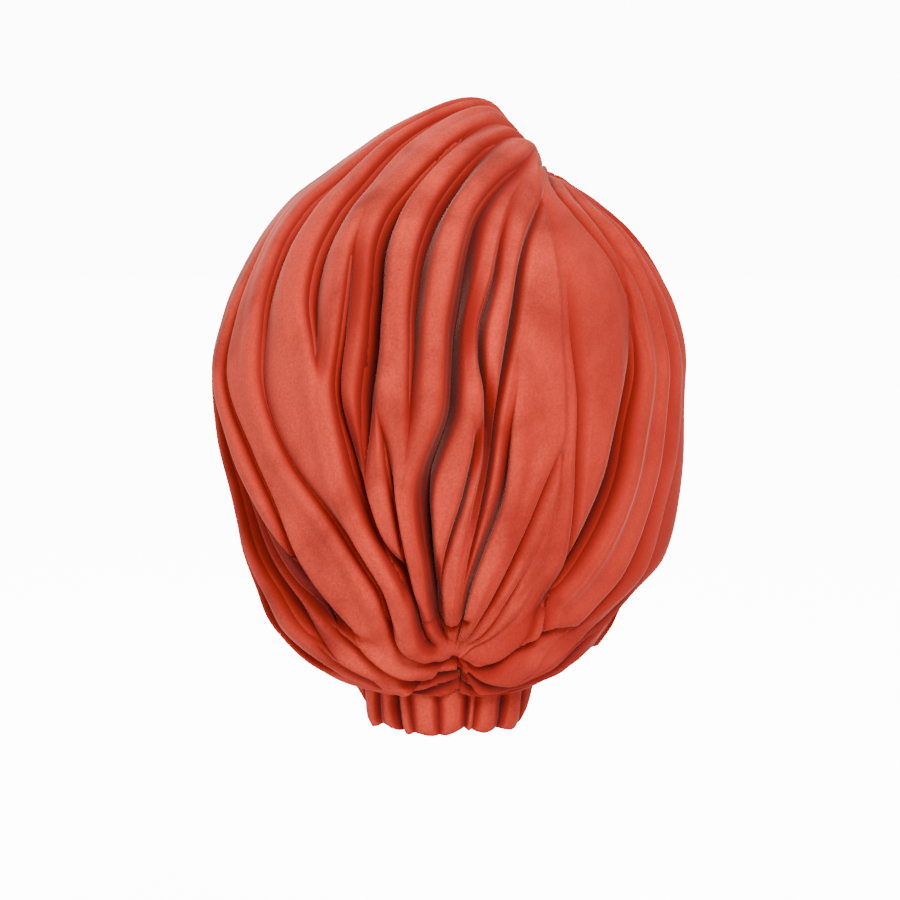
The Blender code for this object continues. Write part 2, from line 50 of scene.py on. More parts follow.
MM = 0.001
TINY = 1e-6
FULL_TURN = 360.0
# Sweeps at which each fold's table gives its turn and depth.
STATIONS = (20.0, 50.0, 80.0, 110.0, 140.0, 165.0)
# Turn of the seam, in front and under the nape gather.
SEAM = 180.0
# Sweep midway between the crown pinch and the nape gather.
HALFWAY = 90.0
# Share of a quarter round that a groove's steep side follows, and its rise by there.
WALL_BEND = 0.985
WALL_RISE = 0.83
# Groove depth in millimetres that gives the full painted shade.
SHADE_TONE_DEPTH = 12.0
# Colour sockets of the mix node.
MIX_FIRST = 6
MIX_SECOND = 7
MIX_RESULT = 2


class Side(Enum):
    """Which of the two wraps, as the sign of its turns."""

    LEFT = 1
    RIGHT = -1


def smooth_step(low: float, high: float, value: np.ndarray) -> np.ndarray:
    """Rise from 0 at low to 1 at high with flat ends.

    Args:
        low: value where the rise starts.
        high: value where it ends.
        value: places to evaluate.

    Returns:
        The smoothed share at each place.
    """
    part = np.clip((value - low) / (high - low), 0.0, 1.0)
    return part * part * (3.0 - 2.0 * part)


def monotone(xs: tuple, ys: tuple, at: np.ndarray, flat_start: bool = False,
             flat_end: bool = False) -> np.ndarray:
    """Interpolate table values without overshoot.

    Args:
        xs: rising table positions.
        ys: table values.
        at: places to evaluate.
        flat_start: whether the curve starts level.
        flat_end: whether the curve ends level.

    Returns:
        The interpolated values.
    """
    xs = np.asarray(xs, dtype=float)
    ys = np.asarray(ys, dtype=float)
    step = np.diff(xs)
    slope = np.diff(ys) / step
    tangent = np.zeros_like(ys)
    tangent[0] = 0.0 if flat_start else slope[0]
    tangent[-1] = 0.0 if flat_end else slope[-1]
    for i in range(1, len(xs) - 1):
        if slope[i - 1] * slope[i] > 0:
            before = 2 * step[i] + step[i - 1]
            after = step[i] + 2 * step[i - 1]
            tangent[i] = (before + after) / (before / slope[i - 1] + after / slope[i])
    at = np.clip(at, xs[0], xs[-1])
    k = np.clip(np.searchsorted(xs, at, side="right") - 1, 0, len(xs) - 2)
    t = (at - xs[k]) / step[k]
    return ((1 + 2 * t) * (1 - t) ** 2 * ys[k] + t * (1 - t) ** 2 * step[k] * tangent[k]
            + t * t * (3 - 2 * t) * ys[k + 1] + t * t * (t - 1) * step[k] * tangent[k + 1])


def groove_wall(part: np.ndarray) -> np.ndarray:
    """Depth across a groove's steep side, a quarter round that ends nearly upright.

    Args:
        part: shares from 0 at the crest to 1 at the bottom.

    Returns:
        Shares of the groove's depth.
    """
    return (1.0 - np.sqrt(1.0 - (WALL_BEND * part) ** 2)) / WALL_RISE


@dataclass(frozen=True)
class Level:
    """One level of the stuffed form: its reach to each side at a height."""

    z: float
    left: float
    right: float
    back: float
    front: float


@dataclass(frozen=True)
class Fold:
    """One groove between two folds.

    line and depth hold its turn and depth at each station from crown to
    nape, left and right the widths of its two sides in degrees of turn.
    """

    name: str
    line: tuple
    depth: tuple
    left: float
    right: float


@dataclass(frozen=True)
class Hem:
    """Groove that runs round the nape, under the rounded end of a fold.

    turns and line hold its turn and sweep at each point, above and below the
    widths of its two sides in degrees of sweep.
    """

    name: str
    turns: tuple
    line: tuple
    depth: float
    above: float
    below: float
    fade: float = 8.0
    slope_power: float = 1.6

    def groove(self, turn: np.ndarray, sweep: np.ndarray) -> np.ndarray:
        """Depth of the groove.

        Args:
            turn: turns in degrees.
            sweep: sweeps in degrees.

        Returns:
            Depths in millimetres.
        """
        shift = sweep - monotone(self.turns, self.line, turn)
        wide = np.where(shift > 0, self.below, self.above)
        part = np.clip(1.0 - np.abs(shift) / wide, 0.0, 1.0)
        section = np.where(shift > 0, part ** self.slope_power, groove_wall(part))
        ends = (smooth_step(self.turns[0], self.turns[0] + self.fade, turn)
                * (1.0 - smooth_step(self.turns[-1] - self.fade, self.turns[-1], turn)))
        return self.depth * section * ends


@dataclass
class Poles:
    """Axis from the nape gather to the crown pinch, and angles about it."""

    crown: tuple = (-43.0, -10.0, 178.0)
    nape: tuple = (0.0, 100.0, -37.0)

    def __post_init__(self) -> None:
        """Work out the middle and the three directions."""
        crown = np.array(self.crown)
        nape = np.array(self.nape)
        self.centre = (crown + nape) / 2
        self.axis = (crown - nape) / np.linalg.norm(crown - nape)
        back = np.array([0.0, 1.0, 0.0]) - self.axis[1] * self.axis
        self.to_back = back / np.linalg.norm(back)
        self.to_left = np.cross(self.to_back, self.axis)

    def direction(self, turn: np.ndarray, sweep: np.ndarray) -> np.ndarray:
        """Unit vector at a turn about the axis and a sweep from the crown.

        Args:
            turn: degrees about the axis, 0 at the back, rising to the left.
            sweep: degrees from the crown.

        Returns:
            An array of unit vectors.
        """
        t = np.radians(turn)
        s = np.radians(sweep)
        return (np.cos(s)[..., None] * self.axis
                + (np.sin(s) * np.cos(t))[..., None] * self.to_back
                + (np.sin(s) * np.sin(t))[..., None] * self.to_left)

    def angles(self, points: np.ndarray) -> tuple:
        """Turn and sweep of points, the reverse of direction.

        Args:
            points: places in millimetres.

        Returns:
            Turns and sweeps in degrees.
        """
        ray = points - self.centre
        ray = ray / np.linalg.norm(ray, axis=-1, keepdims=True)
        turn = np.degrees(np.arctan2(ray @ self.to_left, ray @ self.to_back))
        return turn, np.degrees(np.arccos(ray @ self.axis))


@dataclass
class StuffedForm:
    """The wrapped head as one rounded body, which the cloth lies on."""

    poles: Poles
    levels: tuple = (
        Level(-72, 18, -16, 72, 40), Level(-64, 38, -35, 84, 28),
        Level(-50, 47, -43, 92, 20), Level(-38, 65, -60, 99, 5),
        Level(-25, 77, -72, 103, -15), Level(-10, 84, -84, 107, -40),
        Level(5, 91, -95, 111, -62), Level(30, 97, -102, 115, -88),
        Level(55, 103, -106, 117, -104), Level(85, 107, -106, 116, -112),
        Level(112, 101, -101, 109, -112), Level(140, 88, -88, 94, -104),
        Level(160, 72, -73, 76, -92), Level(173, 54, -59, 61, -80),
        Level(187, 34, -42, 41, -62), Level(199, 12, -27, 17, -44),
        Level(206, -13, -13, -14, -14),
    )
    nearest: float = 20.0
    farthest: float = 260.0
    bisections: int = 24

    def section(self, z: np.ndarray) -> tuple:
        """Middle and half widths of the ellipse at each height.

        Args:
            z: heights in millimetres.

        Returns:
            Middle x, middle y, half x and half y.
        """
        zs = [level.z for level in self.levels]
        mid_x = [(level.left + level.right) / 2 for level in self.levels]
        mid_y = [(level.back + level.front) / 2 for level in self.levels]
        half_x2 = [((level.left - level.right) / 2) ** 2 for level in self.levels]
        half_y2 = [((level.back - level.front) / 2) ** 2 for level in self.levels]
        return (monotone(zs, mid_x, z), monotone(zs, mid_y, z),
                np.sqrt(np.maximum(monotone(zs, half_x2, z), TINY)),
                np.sqrt(np.maximum(monotone(zs, half_y2, z), TINY)))

    def inside(self, points: np.ndarray) -> np.ndarray:
        """Tell which points lie inside the form.

        Args:
            points: places in millimetres.

        Returns:
            A boolean for each place.
        """
        z = points[..., 2]
        mid_x, mid_y, half_x, half_y = self.section(z)
        ring = ((points[..., 0] - mid_x) / half_x) ** 2
        ring = ring + ((points[..., 1] - mid_y) / half_y) ** 2
        return (ring < 1.0) & (z < self.levels[-1].z) & (z > self.levels[0].z)

    def radius(self, turn: np.ndarray, sweep: np.ndarray) -> np.ndarray:
        """Distance from the centre to the form along each direction.

        Args:
            turn: turns in degrees.
            sweep: sweeps in degrees.

        Returns:
            Distances in millimetres.
        """
        ray = self.poles.direction(turn, sweep)
        low = np.full(turn.shape, self.nearest)
        high = np.full(turn.shape, self.farthest)
        for _ in range(self.bisections):
            middle = (low + high) / 2
            hit = self.inside(self.poles.centre + ray * middle[..., None])
            low = np.where(hit, middle, low)
            high = np.where(hit, high, middle)
        return (low + high) / 2


@dataclass
class Rim:
    """Head opening on one side, as sweeps and turns.

    around and height trace it from the front, at 0 degrees about the
    vertical, to the back.
    """

    form: StuffedForm
    side: Side
    around: tuple = (0.0, 30.0, 60.0, 76.0, 104.0, 180.0)
    height: tuple = (65.0, 42.0, 8.0, -28.0, -51.0, -54.0)
    samples: int = 361
    past: float = 30.0
    ear_before: float = 148.0
    ear_strip: float = 6.0

    def __post_init__(self) -> None:
        """Trace the rim on the form, cut it at the seams and split it at the ear."""
        at = np.linspace(-self.past, SEAM + self.past, self.samples)
        folded = SEAM - np.abs(SEAM - np.abs(at))
        z = monotone(self.around, self.height, folded, True, True)
        mid_x, mid_y, half_x, half_y = self.form.section(z)
        path = np.stack([mid_x + self.side.value * half_x * np.sin(np.radians(at)),
                         mid_y - half_y * np.cos(np.radians(at)), z], axis=1)
        self.path = path[(at >= 0.0) & (at <= SEAM)]
        turns, sweeps = self.form.poles.angles(path)
        turns = (self.side.value * turns) % FULL_TURN
        inside = np.flatnonzero(turns < SEAM)
        first, last = int(inside[0]), int(inside[-1])
        places = np.arange(len(turns), dtype=float)
        ends = (np.interp(-SEAM, -turns[first - 1:first + 1], places[first - 1:first + 1]),
                np.interp(SEAM, turns[last:last + 2], places[last:last + 2]))
        steps = np.concatenate([ends[:1], places[first:last + 1], ends[1:]])
        turns = np.interp(steps, places, turns)
        sweeps = np.interp(steps, places, sweeps)
        ear = int(np.argmin(np.where(sweeps < self.ear_before, turns, FULL_TURN)))
        self.ear_turn = float(turns[ear])
        self.ear_sweep = float(sweeps[ear])
        self.front = (turns[ear::-1], sweeps[ear::-1])
        self.back = (sweeps[ear:], turns[ear:])

    def near_ear(self, count: int) -> np.ndarray:
        """Turns of columns just ahead of the ear, evenly spaced along the rim.

        Args:
            count: number of columns.

        Returns:
            Turns in degrees, without a sign.
        """
        until = int(np.searchsorted(self.front[0], self.ear_turn + self.ear_strip)) + 1
        turns, sweeps = (values[:until] for values in self.front)
        steps = np.hypot(np.diff(turns), np.diff(sweeps))
        length = np.concatenate([[0.0], np.cumsum(steps)])
        return np.interp(np.linspace(0.0, length[-1], count + 1)[1:], length, turns)

    def front_sweep(self, turn: np.ndarray) -> np.ndarray:
        """Sweep at which a front column meets the rim.

        Args:
            turn: turns in degrees.

        Returns:
            Sweeps in degrees.
        """
        return np.interp(np.abs(turn), *self.front)

    def back_turn(self, sweep: np.ndarray) -> np.ndarray:
        """Turn of the rim behind the ear.

        Args:
            sweep: sweeps in degrees.

        Returns:
            Turns in degrees, without a sign.
        """
        return np.interp(sweep, *self.back)


@dataclass(frozen=True)
class SmileFold:
    """One groove that hangs like a smile under the nape gather.

    Places are millimetres from the gather, across to the left and down, as
    seen from the photo's height. The groove is steep above and soft below.
    """

    name: str
    across: tuple
    down: tuple
    depth: tuple
    above: float = 2.2
    below: float = 5.4
    roll: float = 0.45
    roll_at: float = 4.4
    roll_wide: float = 2.8
    slope_power: float = 1.7

    def groove(self, across: np.ndarray, down: np.ndarray) -> np.ndarray:
        """Depth of the groove, and height of the roll above it, at each place.

        Args:
            across: millimetres to the left of the gather.
            down: millimetres below it.

        Returns:
            Depths and heights in millimetres.
        """
        shift = down - monotone(self.across, self.down, across)
        wall = np.clip(1.0 + shift / self.above, 0.0, 1.0) * (shift <= 0)
        slope = np.clip(1.0 - shift / self.below, 0.0, 1.0) * (shift > 0)
        section = groove_wall(wall) + slope ** self.slope_power
        inside = (across > self.across[0]) & (across < self.across[-1])
        crest = np.exp(-((shift + self.roll_at) / self.roll_wide) ** 2)
        depth = np.where(inside, monotone(self.across, self.depth, across), 0.0)
        return depth * section, self.roll * depth * crest


SMILE_FOLDS = (
    SmileFold("right_upper", (-56, -45, -37, -27, -17, -9, -3),
              (-21, -19.6, -15, -7.7, -1.5, 0.6, 0), (0, 5, 7, 7, 6, 5, 2)),
    SmileFold("right_middle", (-72, -54, -43, -32, -24, -13, -3),
              (-22, -8.3, -0.9, 3.6, 5.7, 5, 3.5), (0, 6, 7, 7, 7, 6, 3)),
    SmileFold("right_lower", (-80, -58, -43, -31, -20, -9, 3),
              (-20, -4, 4, 8.4, 11, 10.6, 7.6), (0, 6, 8, 8, 7.4, 6, 0)),
    SmileFold("right_bottom", (-84, -58, -43, -31, -20, -9, 7),
              (-16, 2, 9.6, 14.2, 16.6, 16, 10), (0, 6, 7, 7, 7, 6, 0)),
    SmileFold("left_upper", (-6, 0, 5, 10, 15, 22, 30), (2.4, 1.4, 0.4, -2.3, -6.8, -11.3, -17),
              (2, 4, 6, 6.4, 6, 5, 0)),
    SmileFold("left_middle", (-7, -2, 4, 9, 18, 23, 32, 41, 60),
              (7.4, 6.6, 6.4, 6.3, 4.5, 1.4, -4.5, -11.3, -25),
              (3, 5, 7, 7.4, 7.4, 7.4, 7, 6, 0)),
    SmileFold("left_lower", (-7, -2, 4, 10, 18, 25, 32, 44, 64),
              (8.6, 10, 11.4, 12.4, 13, 11, 6.4, 0, -14),
              (2, 4, 6.4, 7.4, 7.4, 7.4, 7, 6, 0)),
)


@dataclass
class NapeZone:
    """Room under the nape gather where smile folds take over from the long ones.

    tilt is how far from above the photo looks, and top_across and top_down
    trace the top of the room.
    """

    poles: Poles
    folds: tuple = SMILE_FOLDS
    tilt: float = 7.0
    top_across: tuple = (-70.0, -50.0, -27.0, -9.0, 0.0, 10.0, 22.0, 55.0)
    top_down: tuple = (-18.0, -22.0, -10.0, -3.0, -1.0, -4.0, -13.0, -24.0)
    edge: tuple = (-5.0, 4.0)
    sides: tuple = (44.0, 70.0)
    calm: float = 0.85
    deepen: float = 1.2
    # extra painted shade in the grooves of this room
    tone: float = 0.5

    def place(self, points: np.ndarray) -> tuple:
        """Place of points as seen from the photo's height.

        Args:
            points: places in millimetres.

        Returns:
            Millimetres across and down from the gather.
        """
        off = points - self.poles.nape
        tilt = math.radians(self.tilt)
        return off[..., 0], off[..., 1] * math.sin(tilt) - off[..., 2] * math.cos(tilt)

    def share(self, across: np.ndarray, down: np.ndarray) -> np.ndarray:
        """Share by which the long folds fade in this room.

        Args:
            across: millimetres to the left of the gather.
            down: millimetres below it.

        Returns:
            Shares from 0 to 1.
        """
        top = np.interp(across, self.top_across, self.top_down)
        inside = smooth_step(*self.edge, down - top) * (1.0 - smooth_step(*self.sides, np.abs(across)))
        return self.calm * inside


@dataclass(frozen=True)
class ClothWaves:
    """Slow swells of the cloth, and fine gathers towards both ends."""

    swell: float = 0.9
    bend_paces: tuple = (11.0, 19.0)
    swell_paces: tuple = (13.0, 17.0)
    bends: tuple = (0.8, 0.6)
    small_share: float = 0.5
    small_paces: tuple = (5.3, 31.0, 8.7, 23.0)
    gather_depth: float = 0.6
    gathers: float = 34.0
    sway: float = 1.5
    sway_pace: float = 6.0
    uneven: float = 0.4
    uneven_paces: tuple = (9.0, 14.0)
    crown_end: tuple = (10.0, 34.0)
    nape_end: tuple = (142.0, 166.0)
    pole_reach: float = 0.3

    def height(self, turn: np.ndarray, sweep: np.ndarray) -> np.ndarray:
        """Height of the swells and gathers at each place.

        Args:
            turn: turns in degrees.
            sweep: sweeps in degrees.

        Returns:
            Heights in millimetres.
        """
        bend = turn / self.bend_paces[0] + self.bends[0] * np.sin(sweep / self.bend_paces[1])
        across = self.bends[1] * np.sin(turn / self.swell_paces[1])
        swell = np.sin(bend) * np.sin(sweep / self.swell_paces[0] + across)
        first = np.sin(turn / self.small_paces[0] + sweep / self.small_paces[1])
        second = np.sin(sweep / self.small_paces[2] + turn / self.small_paces[3])
        swell = swell + self.small_share * first * second
        end = smooth_step(*self.nape_end, sweep) + 1.0 - smooth_step(*self.crown_end, sweep)
        ripple = np.sin(np.radians(turn) * self.gathers + self.sway * np.sin(sweep / self.sway_pace))
        uneven = np.sin(turn / self.uneven_paces[0] + sweep / self.uneven_paces[1])
        ripple = ripple * (1.0 - self.uneven + self.uneven * uneven)
        near = np.minimum(1.0, np.sin(np.radians(sweep)) / self.pole_reach)
        return self.swell * swell * near + self.gather_depth * ripple * end * near


@dataclass
class WrapShape:
    """Folds and turned edges of one wrap, as a radius at each direction.

    edge holds the turn of the left wrap's free edge at each station, and
    nape_end is where the long folds end. calm makes folds shallower near the
    rim and pole_calm near the crown and nape, where pole_grow widens them.
    curl turns the cloth in at the rim, pinch and nape_tuck draw it in at its
    ends, and lip lowers the right wrap beside the left one's edge. lean and
    roll shape the crest beside a groove. nape_pull, nape_bend and nape_sides
    turn the folds outwards under the nape gather.
    """

    form: StuffedForm
    rim: Rim
    folds: tuple
    nape: NapeZone
    hems: tuple = ()
    edge: tuple = (6.0, -9.0, -17.0, -27.0, -38.0, -56.0)
    nape_end: tuple = (174.0, 180.0)
    wander: float = 0.7
    wander_pace: float = 9.0
    waves: ClothWaves = ClothWaves()
    calm_reach: float = 9.0
    calm_share: float = 0.45
    pole_calm: tuple = (30.0, 14.0)
    pole_power: float = 0.8
    pole_grow: float = 1.6
    pole_reach: float = 0.6
    soft_grow: float = 0.5
    curl_depth: float = 4.0
    curl_reach: float = 5.0
    pinch_depth: float = 9.0
    pinch_reach: tuple = (24.0, 8.0)
    pinch_from: tuple = (-8.0, 14.0)
    pinch_to: tuple = (120.0, 170.0)
    pinch_tuck: tuple = (9.0, 4.0)
    nape_tuck: tuple = (9.0, 5.0)
    lip_step: float = 2.2
    lip_reach: float = 9.0
    lean: float = 0.75
    lean_depth: float = 9.0
    slope_power: float = 1.7
    roll_share: float = 0.22
    roll_at: float = 1.4
    roll_wide: float = 1.3
    nape_pull: float = 0.3
    nape_bend: tuple = (156.0, 176.0)
    nape_sides: tuple = (20.0, 110.0)
    bend_steps: int = 12

    def edge_turn(self, sweep: np.ndarray) -> np.ndarray:
        """Turn of the free edge that laps over the right wrap.

        Args:
            sweep: sweeps in degrees.

        Returns:
            Turns in degrees.
        """
        return monotone(STATIONS, self.edge, sweep)

    def unbent(self, turn: np.ndarray, sweep: np.ndarray) -> np.ndarray:
        """Turn in the tables for folds that bend under the nape gather.

        Args:
            turn: turns in degrees.
            sweep: sweeps in degrees.

        Returns:
            Turns to look up in the fold tables.
        """
        return turn - self.nape_shift(turn, sweep)

    def nape_shift(self, turn: np.ndarray, sweep: np.ndarray) -> np.ndarray:
        """How far folds have turned outwards under the nape gather.

        Args:
            turn: turns in degrees.
            sweep: sweeps in degrees.

        Returns:
            Shifts in degrees.
        """
        side = np.abs(turn)
        pull = (SEAM - side) * self.nape_pull * smooth_step(*self.nape_bend, sweep)
        return np.sign(turn) * pull * smooth_step(*self.nape_sides, side)

    def bent(self, turn: np.ndarray, sweep: np.ndarray) -> np.ndarray:
        """Turn on the cloth of a turn in the tables, the reverse of unbent.

        Args:
            turn: turns in the tables.
            sweep: sweeps in degrees.

        Returns:
            Turns on the cloth.
        """
        real = turn
        for _ in range(self.bend_steps):
            real = turn + self.nape_shift(real, sweep)
        return real

    def widening(self, sweep: np.ndarray) -> np.ndarray:
        """Share by which folds widen, in degrees of turn, towards the poles.

        Args:
            sweep: sweeps in degrees.

        Returns:
            Extra shares.
        """
        return self.pole_grow * (1.0 - np.minimum(1.0, np.sin(np.radians(sweep)) / self.pole_reach))

    def fold_line(self, fold: Fold, sweep: np.ndarray) -> np.ndarray:
        """Turn of a groove with its slight wander.

        Args:
            fold: the groove.
            sweep: sweeps in degrees.

        Returns:
            Turns in degrees.
        """
        drift = self.wander * np.sin(sweep / self.wander_pace + sum(fold.line))
        return monotone(STATIONS, fold.line, sweep) + drift

    def fold_parts(self, fold: Fold, turn: np.ndarray, sweep: np.ndarray) -> tuple:
        """Distance from one groove and its depth along it.

        Args:
            fold: the groove.
            turn: turns in degrees.
            sweep: sweeps in degrees.

        Returns:
            Signed distance from the line in degrees, and depth in millimetres.
        """
        shift = turn - self.fold_line(fold, sweep)
        along = monotone(STATIONS, fold.depth, sweep)
        along = along * (1.0 - smooth_step(*self.nape_end, sweep))
        calm_from = np.where(sweep < HALFWAY, self.pole_calm[0], self.pole_calm[1])
        near_pole = np.minimum(1.0, np.sin(np.radians(sweep)) / np.sin(np.radians(calm_from)))
        return shift, along * near_pole ** self.pole_power

    def near_rim(self, turn: np.ndarray, sweep: np.ndarray) -> np.ndarray:
        """Degrees from the head opening.

        Args:
            turn: turns in degrees.
            sweep: sweeps in degrees.

        Returns:
            Distances in degrees.
        """
        behind = np.where(sweep > self.rim.ear_sweep,
                          self.rim.back_turn(sweep) - np.abs(turn), HALFWAY)
        behind = behind * np.sin(np.radians(sweep))
        ahead = np.where(np.abs(turn) > self.rim.ear_turn - TINY,
                         self.rim.front_sweep(turn) - sweep, HALFWAY)
        return np.minimum(behind, ahead)

    def long_folds(self, turn: np.ndarray, sweep: np.ndarray) -> tuple:
        """Grooves, rolls and lean of the folds that run from crown to nape.

        Args:
            turn: turns in degrees.
            sweep: sweeps in degrees.

        Returns:
            Sum of the cubed groove depths, roll heights and leaned turns.
        """
        total = np.zeros(turn.shape)
        rolls = np.zeros(turn.shape)
        leaned = turn.copy()
        table_turn = self.unbent(turn, sweep)
        grow = self.widening(sweep)
        for fold in self.folds:
            shift, deep = self.fold_parts(fold, table_turn, sweep)
            off = shift if fold.left < fold.right else -shift
            steep = min(fold.left, fold.right) * (1.0 + grow)
            soft = max(fold.left, fold.right) * (1.0 + self.soft_grow * grow)
            wall = np.clip(1.0 - off / steep, 0.0, 1.0) * (off >= 0)
            slope = np.clip(1.0 + off / soft, 0.0, 1.0) * (off < 0)
            total = total + (deep * (groove_wall(wall) + slope ** self.slope_power)) ** 3
            crest = np.exp(-((off - self.roll_at * steep) / (self.roll_wide * steep)) ** 2)
            rolls = rolls + self.roll_share * deep * crest
            bulge = 4.0 * wall * (1.0 - wall) * np.minimum(1.0, deep / self.lean_depth)
            leaned = leaned - np.sign(shift) * self.lean * steep * bulge
        return total, rolls, leaned

    def ends(self, turn: np.ndarray, sweep: np.ndarray) -> np.ndarray:
        """Depth to which the cloth is drawn in at the crown pinch and the nape gather.

        Args:
            turn: turns in degrees.
            sweep: sweeps in degrees.

        Returns:
            Depths in millimetres.
        """
        over = smooth_step(*self.pinch_from, turn) * (1.0 - smooth_step(*self.pinch_to, turn))
        reach = self.pinch_reach[0] + (self.pinch_reach[1] - self.pinch_reach[0]) * over
        depth = self.pinch_depth * np.exp(-(sweep / reach) ** 2)
        depth = depth + self.pinch_tuck[0] * np.exp(-(sweep / self.pinch_tuck[1]) ** 2)
        from_nape = (SEAM - sweep) / self.nape_tuck[1]
        return depth + self.nape_tuck[0] * np.exp(-from_nape ** 2)

    def shape(self, turn: np.ndarray, sweep: np.ndarray) -> tuple:
        """Outer radius, leaned turn and painted shade tone of the groove at each place.

        Args:
            turn: turns in degrees.
            sweep: sweeps in degrees.

        Returns:
            Radius in millimetres, turn in degrees, painted shade tone in millimetres of depth.
        """
        total, rolls, leaned = self.long_folds(turn, sweep)
        base = self.form.radius(turn, sweep)
        poles = self.form.poles
        across, down = self.nape.place(poles.centre + poles.direction(turn, sweep) * base[:, None])
        behind = sweep > HALFWAY
        kept = np.where(behind, 1.0 - self.nape.share(across, down), 1.0)
        total = total * kept ** 3
        rolls = rolls * kept
        leaned = turn + (leaned - turn) * kept
        for fold in self.nape.folds:
            deep, roll = fold.groove(across, down)
            total = total + np.where(behind, self.nape.deepen * deep, 0.0) ** 3
            rolls = rolls + np.where(behind, roll, 0.0)
        for hem in self.hems:
            total = total + hem.groove(turn, sweep) ** 3
        grooves = total ** (1.0 / 3.0)
        depth = grooves - rolls - self.waves.height(turn, sweep) + self.ends(turn, sweep)
        to_rim = self.near_rim(turn, sweep)
        near = np.clip(1.0 - to_rim / self.curl_reach, 0.0, 1.0)
        calm = np.clip(1.0 - to_rim / self.calm_reach, 0.0, 1.0)
        depth = depth * (1.0 - self.calm_share * calm) + self.curl_depth * near * near
        if self.rim.side is Side.RIGHT:
            from_edge = (self.edge_turn(sweep) - turn) * np.sin(np.radians(sweep))
            lip = np.clip(1.0 - from_edge / self.lip_reach, 0.0, 1.0)
            depth = depth + self.lip_step * lip * lip
        # painted shade: darker with groove depth, more so under the nape gather
        tone = grooves * (1.0 + self.nape.tone * (1.0 - kept))
        return base - depth, leaned, tone


LEFT_FOLDS = (
    Fold("lobe_pleat", (-30, -30, -30, -30, -24, -24), (0, 0, 0, 0, 8, 8), 3, 9),
    Fold("lobe_dimple", (-38, -38, -38, -38, -38, -38), (0, 0, 0, 0, 0, 5), 3, 6),
    Fold("tongue_pleat", (0, 0, 0, -4, -9, -5), (0, 0, 0, 3, 10, 11), 9, 3),
    Fold("panel_side", (-2, 5, 6, 4, 4, 4), (1, 9, 13, 9, 10, 2), 3, 6),
    Fold("inner_pleat", (10, 13, 15, 9, 6, 7), (0, 4, 12, 9, 5, 0), 3, 7),
    Fold("short_tuck", (10, 10, 10, 10, 13, 26), (0, 0, 0, 3, 9, 3), 3, 6),
    Fold("main_pleat", (14, 26, 23, 23, 33, 37), (5, 10, 16, 13, 18, 15), 3, 11),
    Fold("second_pleat", (34, 38, 35, 34, 33, 33), (6, 12, 11, 5, 0, 0), 3, 10),
    Fold("nape_tuck", (44, 44, 44, 44, 44, 48), (0, 0, 0, 2, 9, 8), 3, 7),
    Fold("third_pleat", (46, 50, 47, 49, 52, 52), (5, 10, 14, 13, 0, 0), 3, 9),
    Fold("long_pleat", (60, 56, 52, 57, 57, 50), (0, 0, 7, 11, 13, 13), 3, 8),
    Fold("side_pocket", (70, 68, 64, 58, 58, 58), (8, 9, 9, 0, 0, 0), 3, 9),
    Fold("side_pleat", (82, 80, 80, 78, 72, 68), (6, 8, 6, 4, 6, 8), 5, 9),
    Fold("twin_mid", (91, 91, 91, 90, 89, 86), (0, 0, 3, 6, 7, 6), 2.5, 4),
    Fold("under_twin", (102, 101, 99, 96, 91, 89), (9, 9, 10, 14, 14, 12), 9, 3),
    Fold("low_tuck", (106, 105, 103, 101, 98, 91), (0, 0, 0, 7, 10, 9), 5, 3),
    Fold("ear_pleat", (118, 115, 111, 109, 107, 106), (8, 11, 9, 11, 10, 8), 4, 10),
    Fold("rim_pleat", (136, 130, 123, 119, 118, 122), (9, 10, 12, 9, 8, 8), 4, 9),
    Fold("temple_pleat", (152, 144, 134, 128, 128, 138), (10, 12, 9, 5, 7, 7), 4, 11),
    Fold("brow_pleat", (165, 157, 145, 132, 132, 132), (8, 9, 12, 10, 0, 0), 4, 9),
    Fold("front_pleat", (174, 167, 156, 150, 150, 150), (9, 11, 9, 8, 0, 0), 4, 8),
    Fold("front_seam", (180, 180, 180, 180, 180, 180), (3, 4, 4, 4, 3, 3), 5, 5.1),
)
LEFT_HEMS = (
    Hem("tongue_end", (-16, -6, 6, 22, 40, 52), (170, 172, 173.6, 173.2, 171, 168), 6, 2.2, 3.5),
)
RIGHT_FOLDS = (
    Fold("lip_pocket", (-5, -13, -21, -32, -50, -80), (0, 0, 4, 5, 6, 4), 3, 7),
    Fold("corner_pleat", (-10, -50, -60, -60, -60, -60), (6, 3, 0, 0, 0, 0), 6, 3),
    Fold("fan_pleat", (-32, -58, -70, -70, -70, -70), (5, 1, 0, 0, 0, 0), 5, 3),
    Fold("deep_pleat", (-38, -50, -57, -62, -66, -70), (0, 3, 10, 15, 13, 3), 14, 3),
    Fold("crest_pleat", (-52, -66, -78, -83, -89, -92), (8, 14, 13, 9, 7, 6), 3, 12),
    Fold("side_pleat", (-72, -86, -95, -99, -99, -99), (6, 5, 4, 6, 9, 9), 4, 12),
    Fold("back_pleat", (-88, -100, -108, -112, -109, -106), (5, 6, 5, 8, 10, 8), 3, 9),
    Fold("ear_pleat", (-106, -113, -118, -120, -119, -118), (8, 9, 11, 10, 8, 8), 8, 4),
    Fold("rim_pleat", (-125, -128, -127, -126, -128, -134), (9, 12, 9, 10, 9, 7), 9, 4),
    Fold("temple_pleat", (-143, -142, -137, -131, -131, -131), (10, 9, 12, 9, 0, 0), 11, 4),
    Fold("brow_pleat", (-160, -156, -148, -140, -140, -140), (8, 12, 9, 11, 0, 0), 9, 4),
    Fold("front_pleat", (-172, -167, -159, -150, -150, -150), (9, 9, 11, 8, 0, 0), 8, 4),
    Fold("front_seam", (-180, -180, -180, -180, -180, -180), (3, 4, 4, 4, 3, 3), 5, 5.1),
)


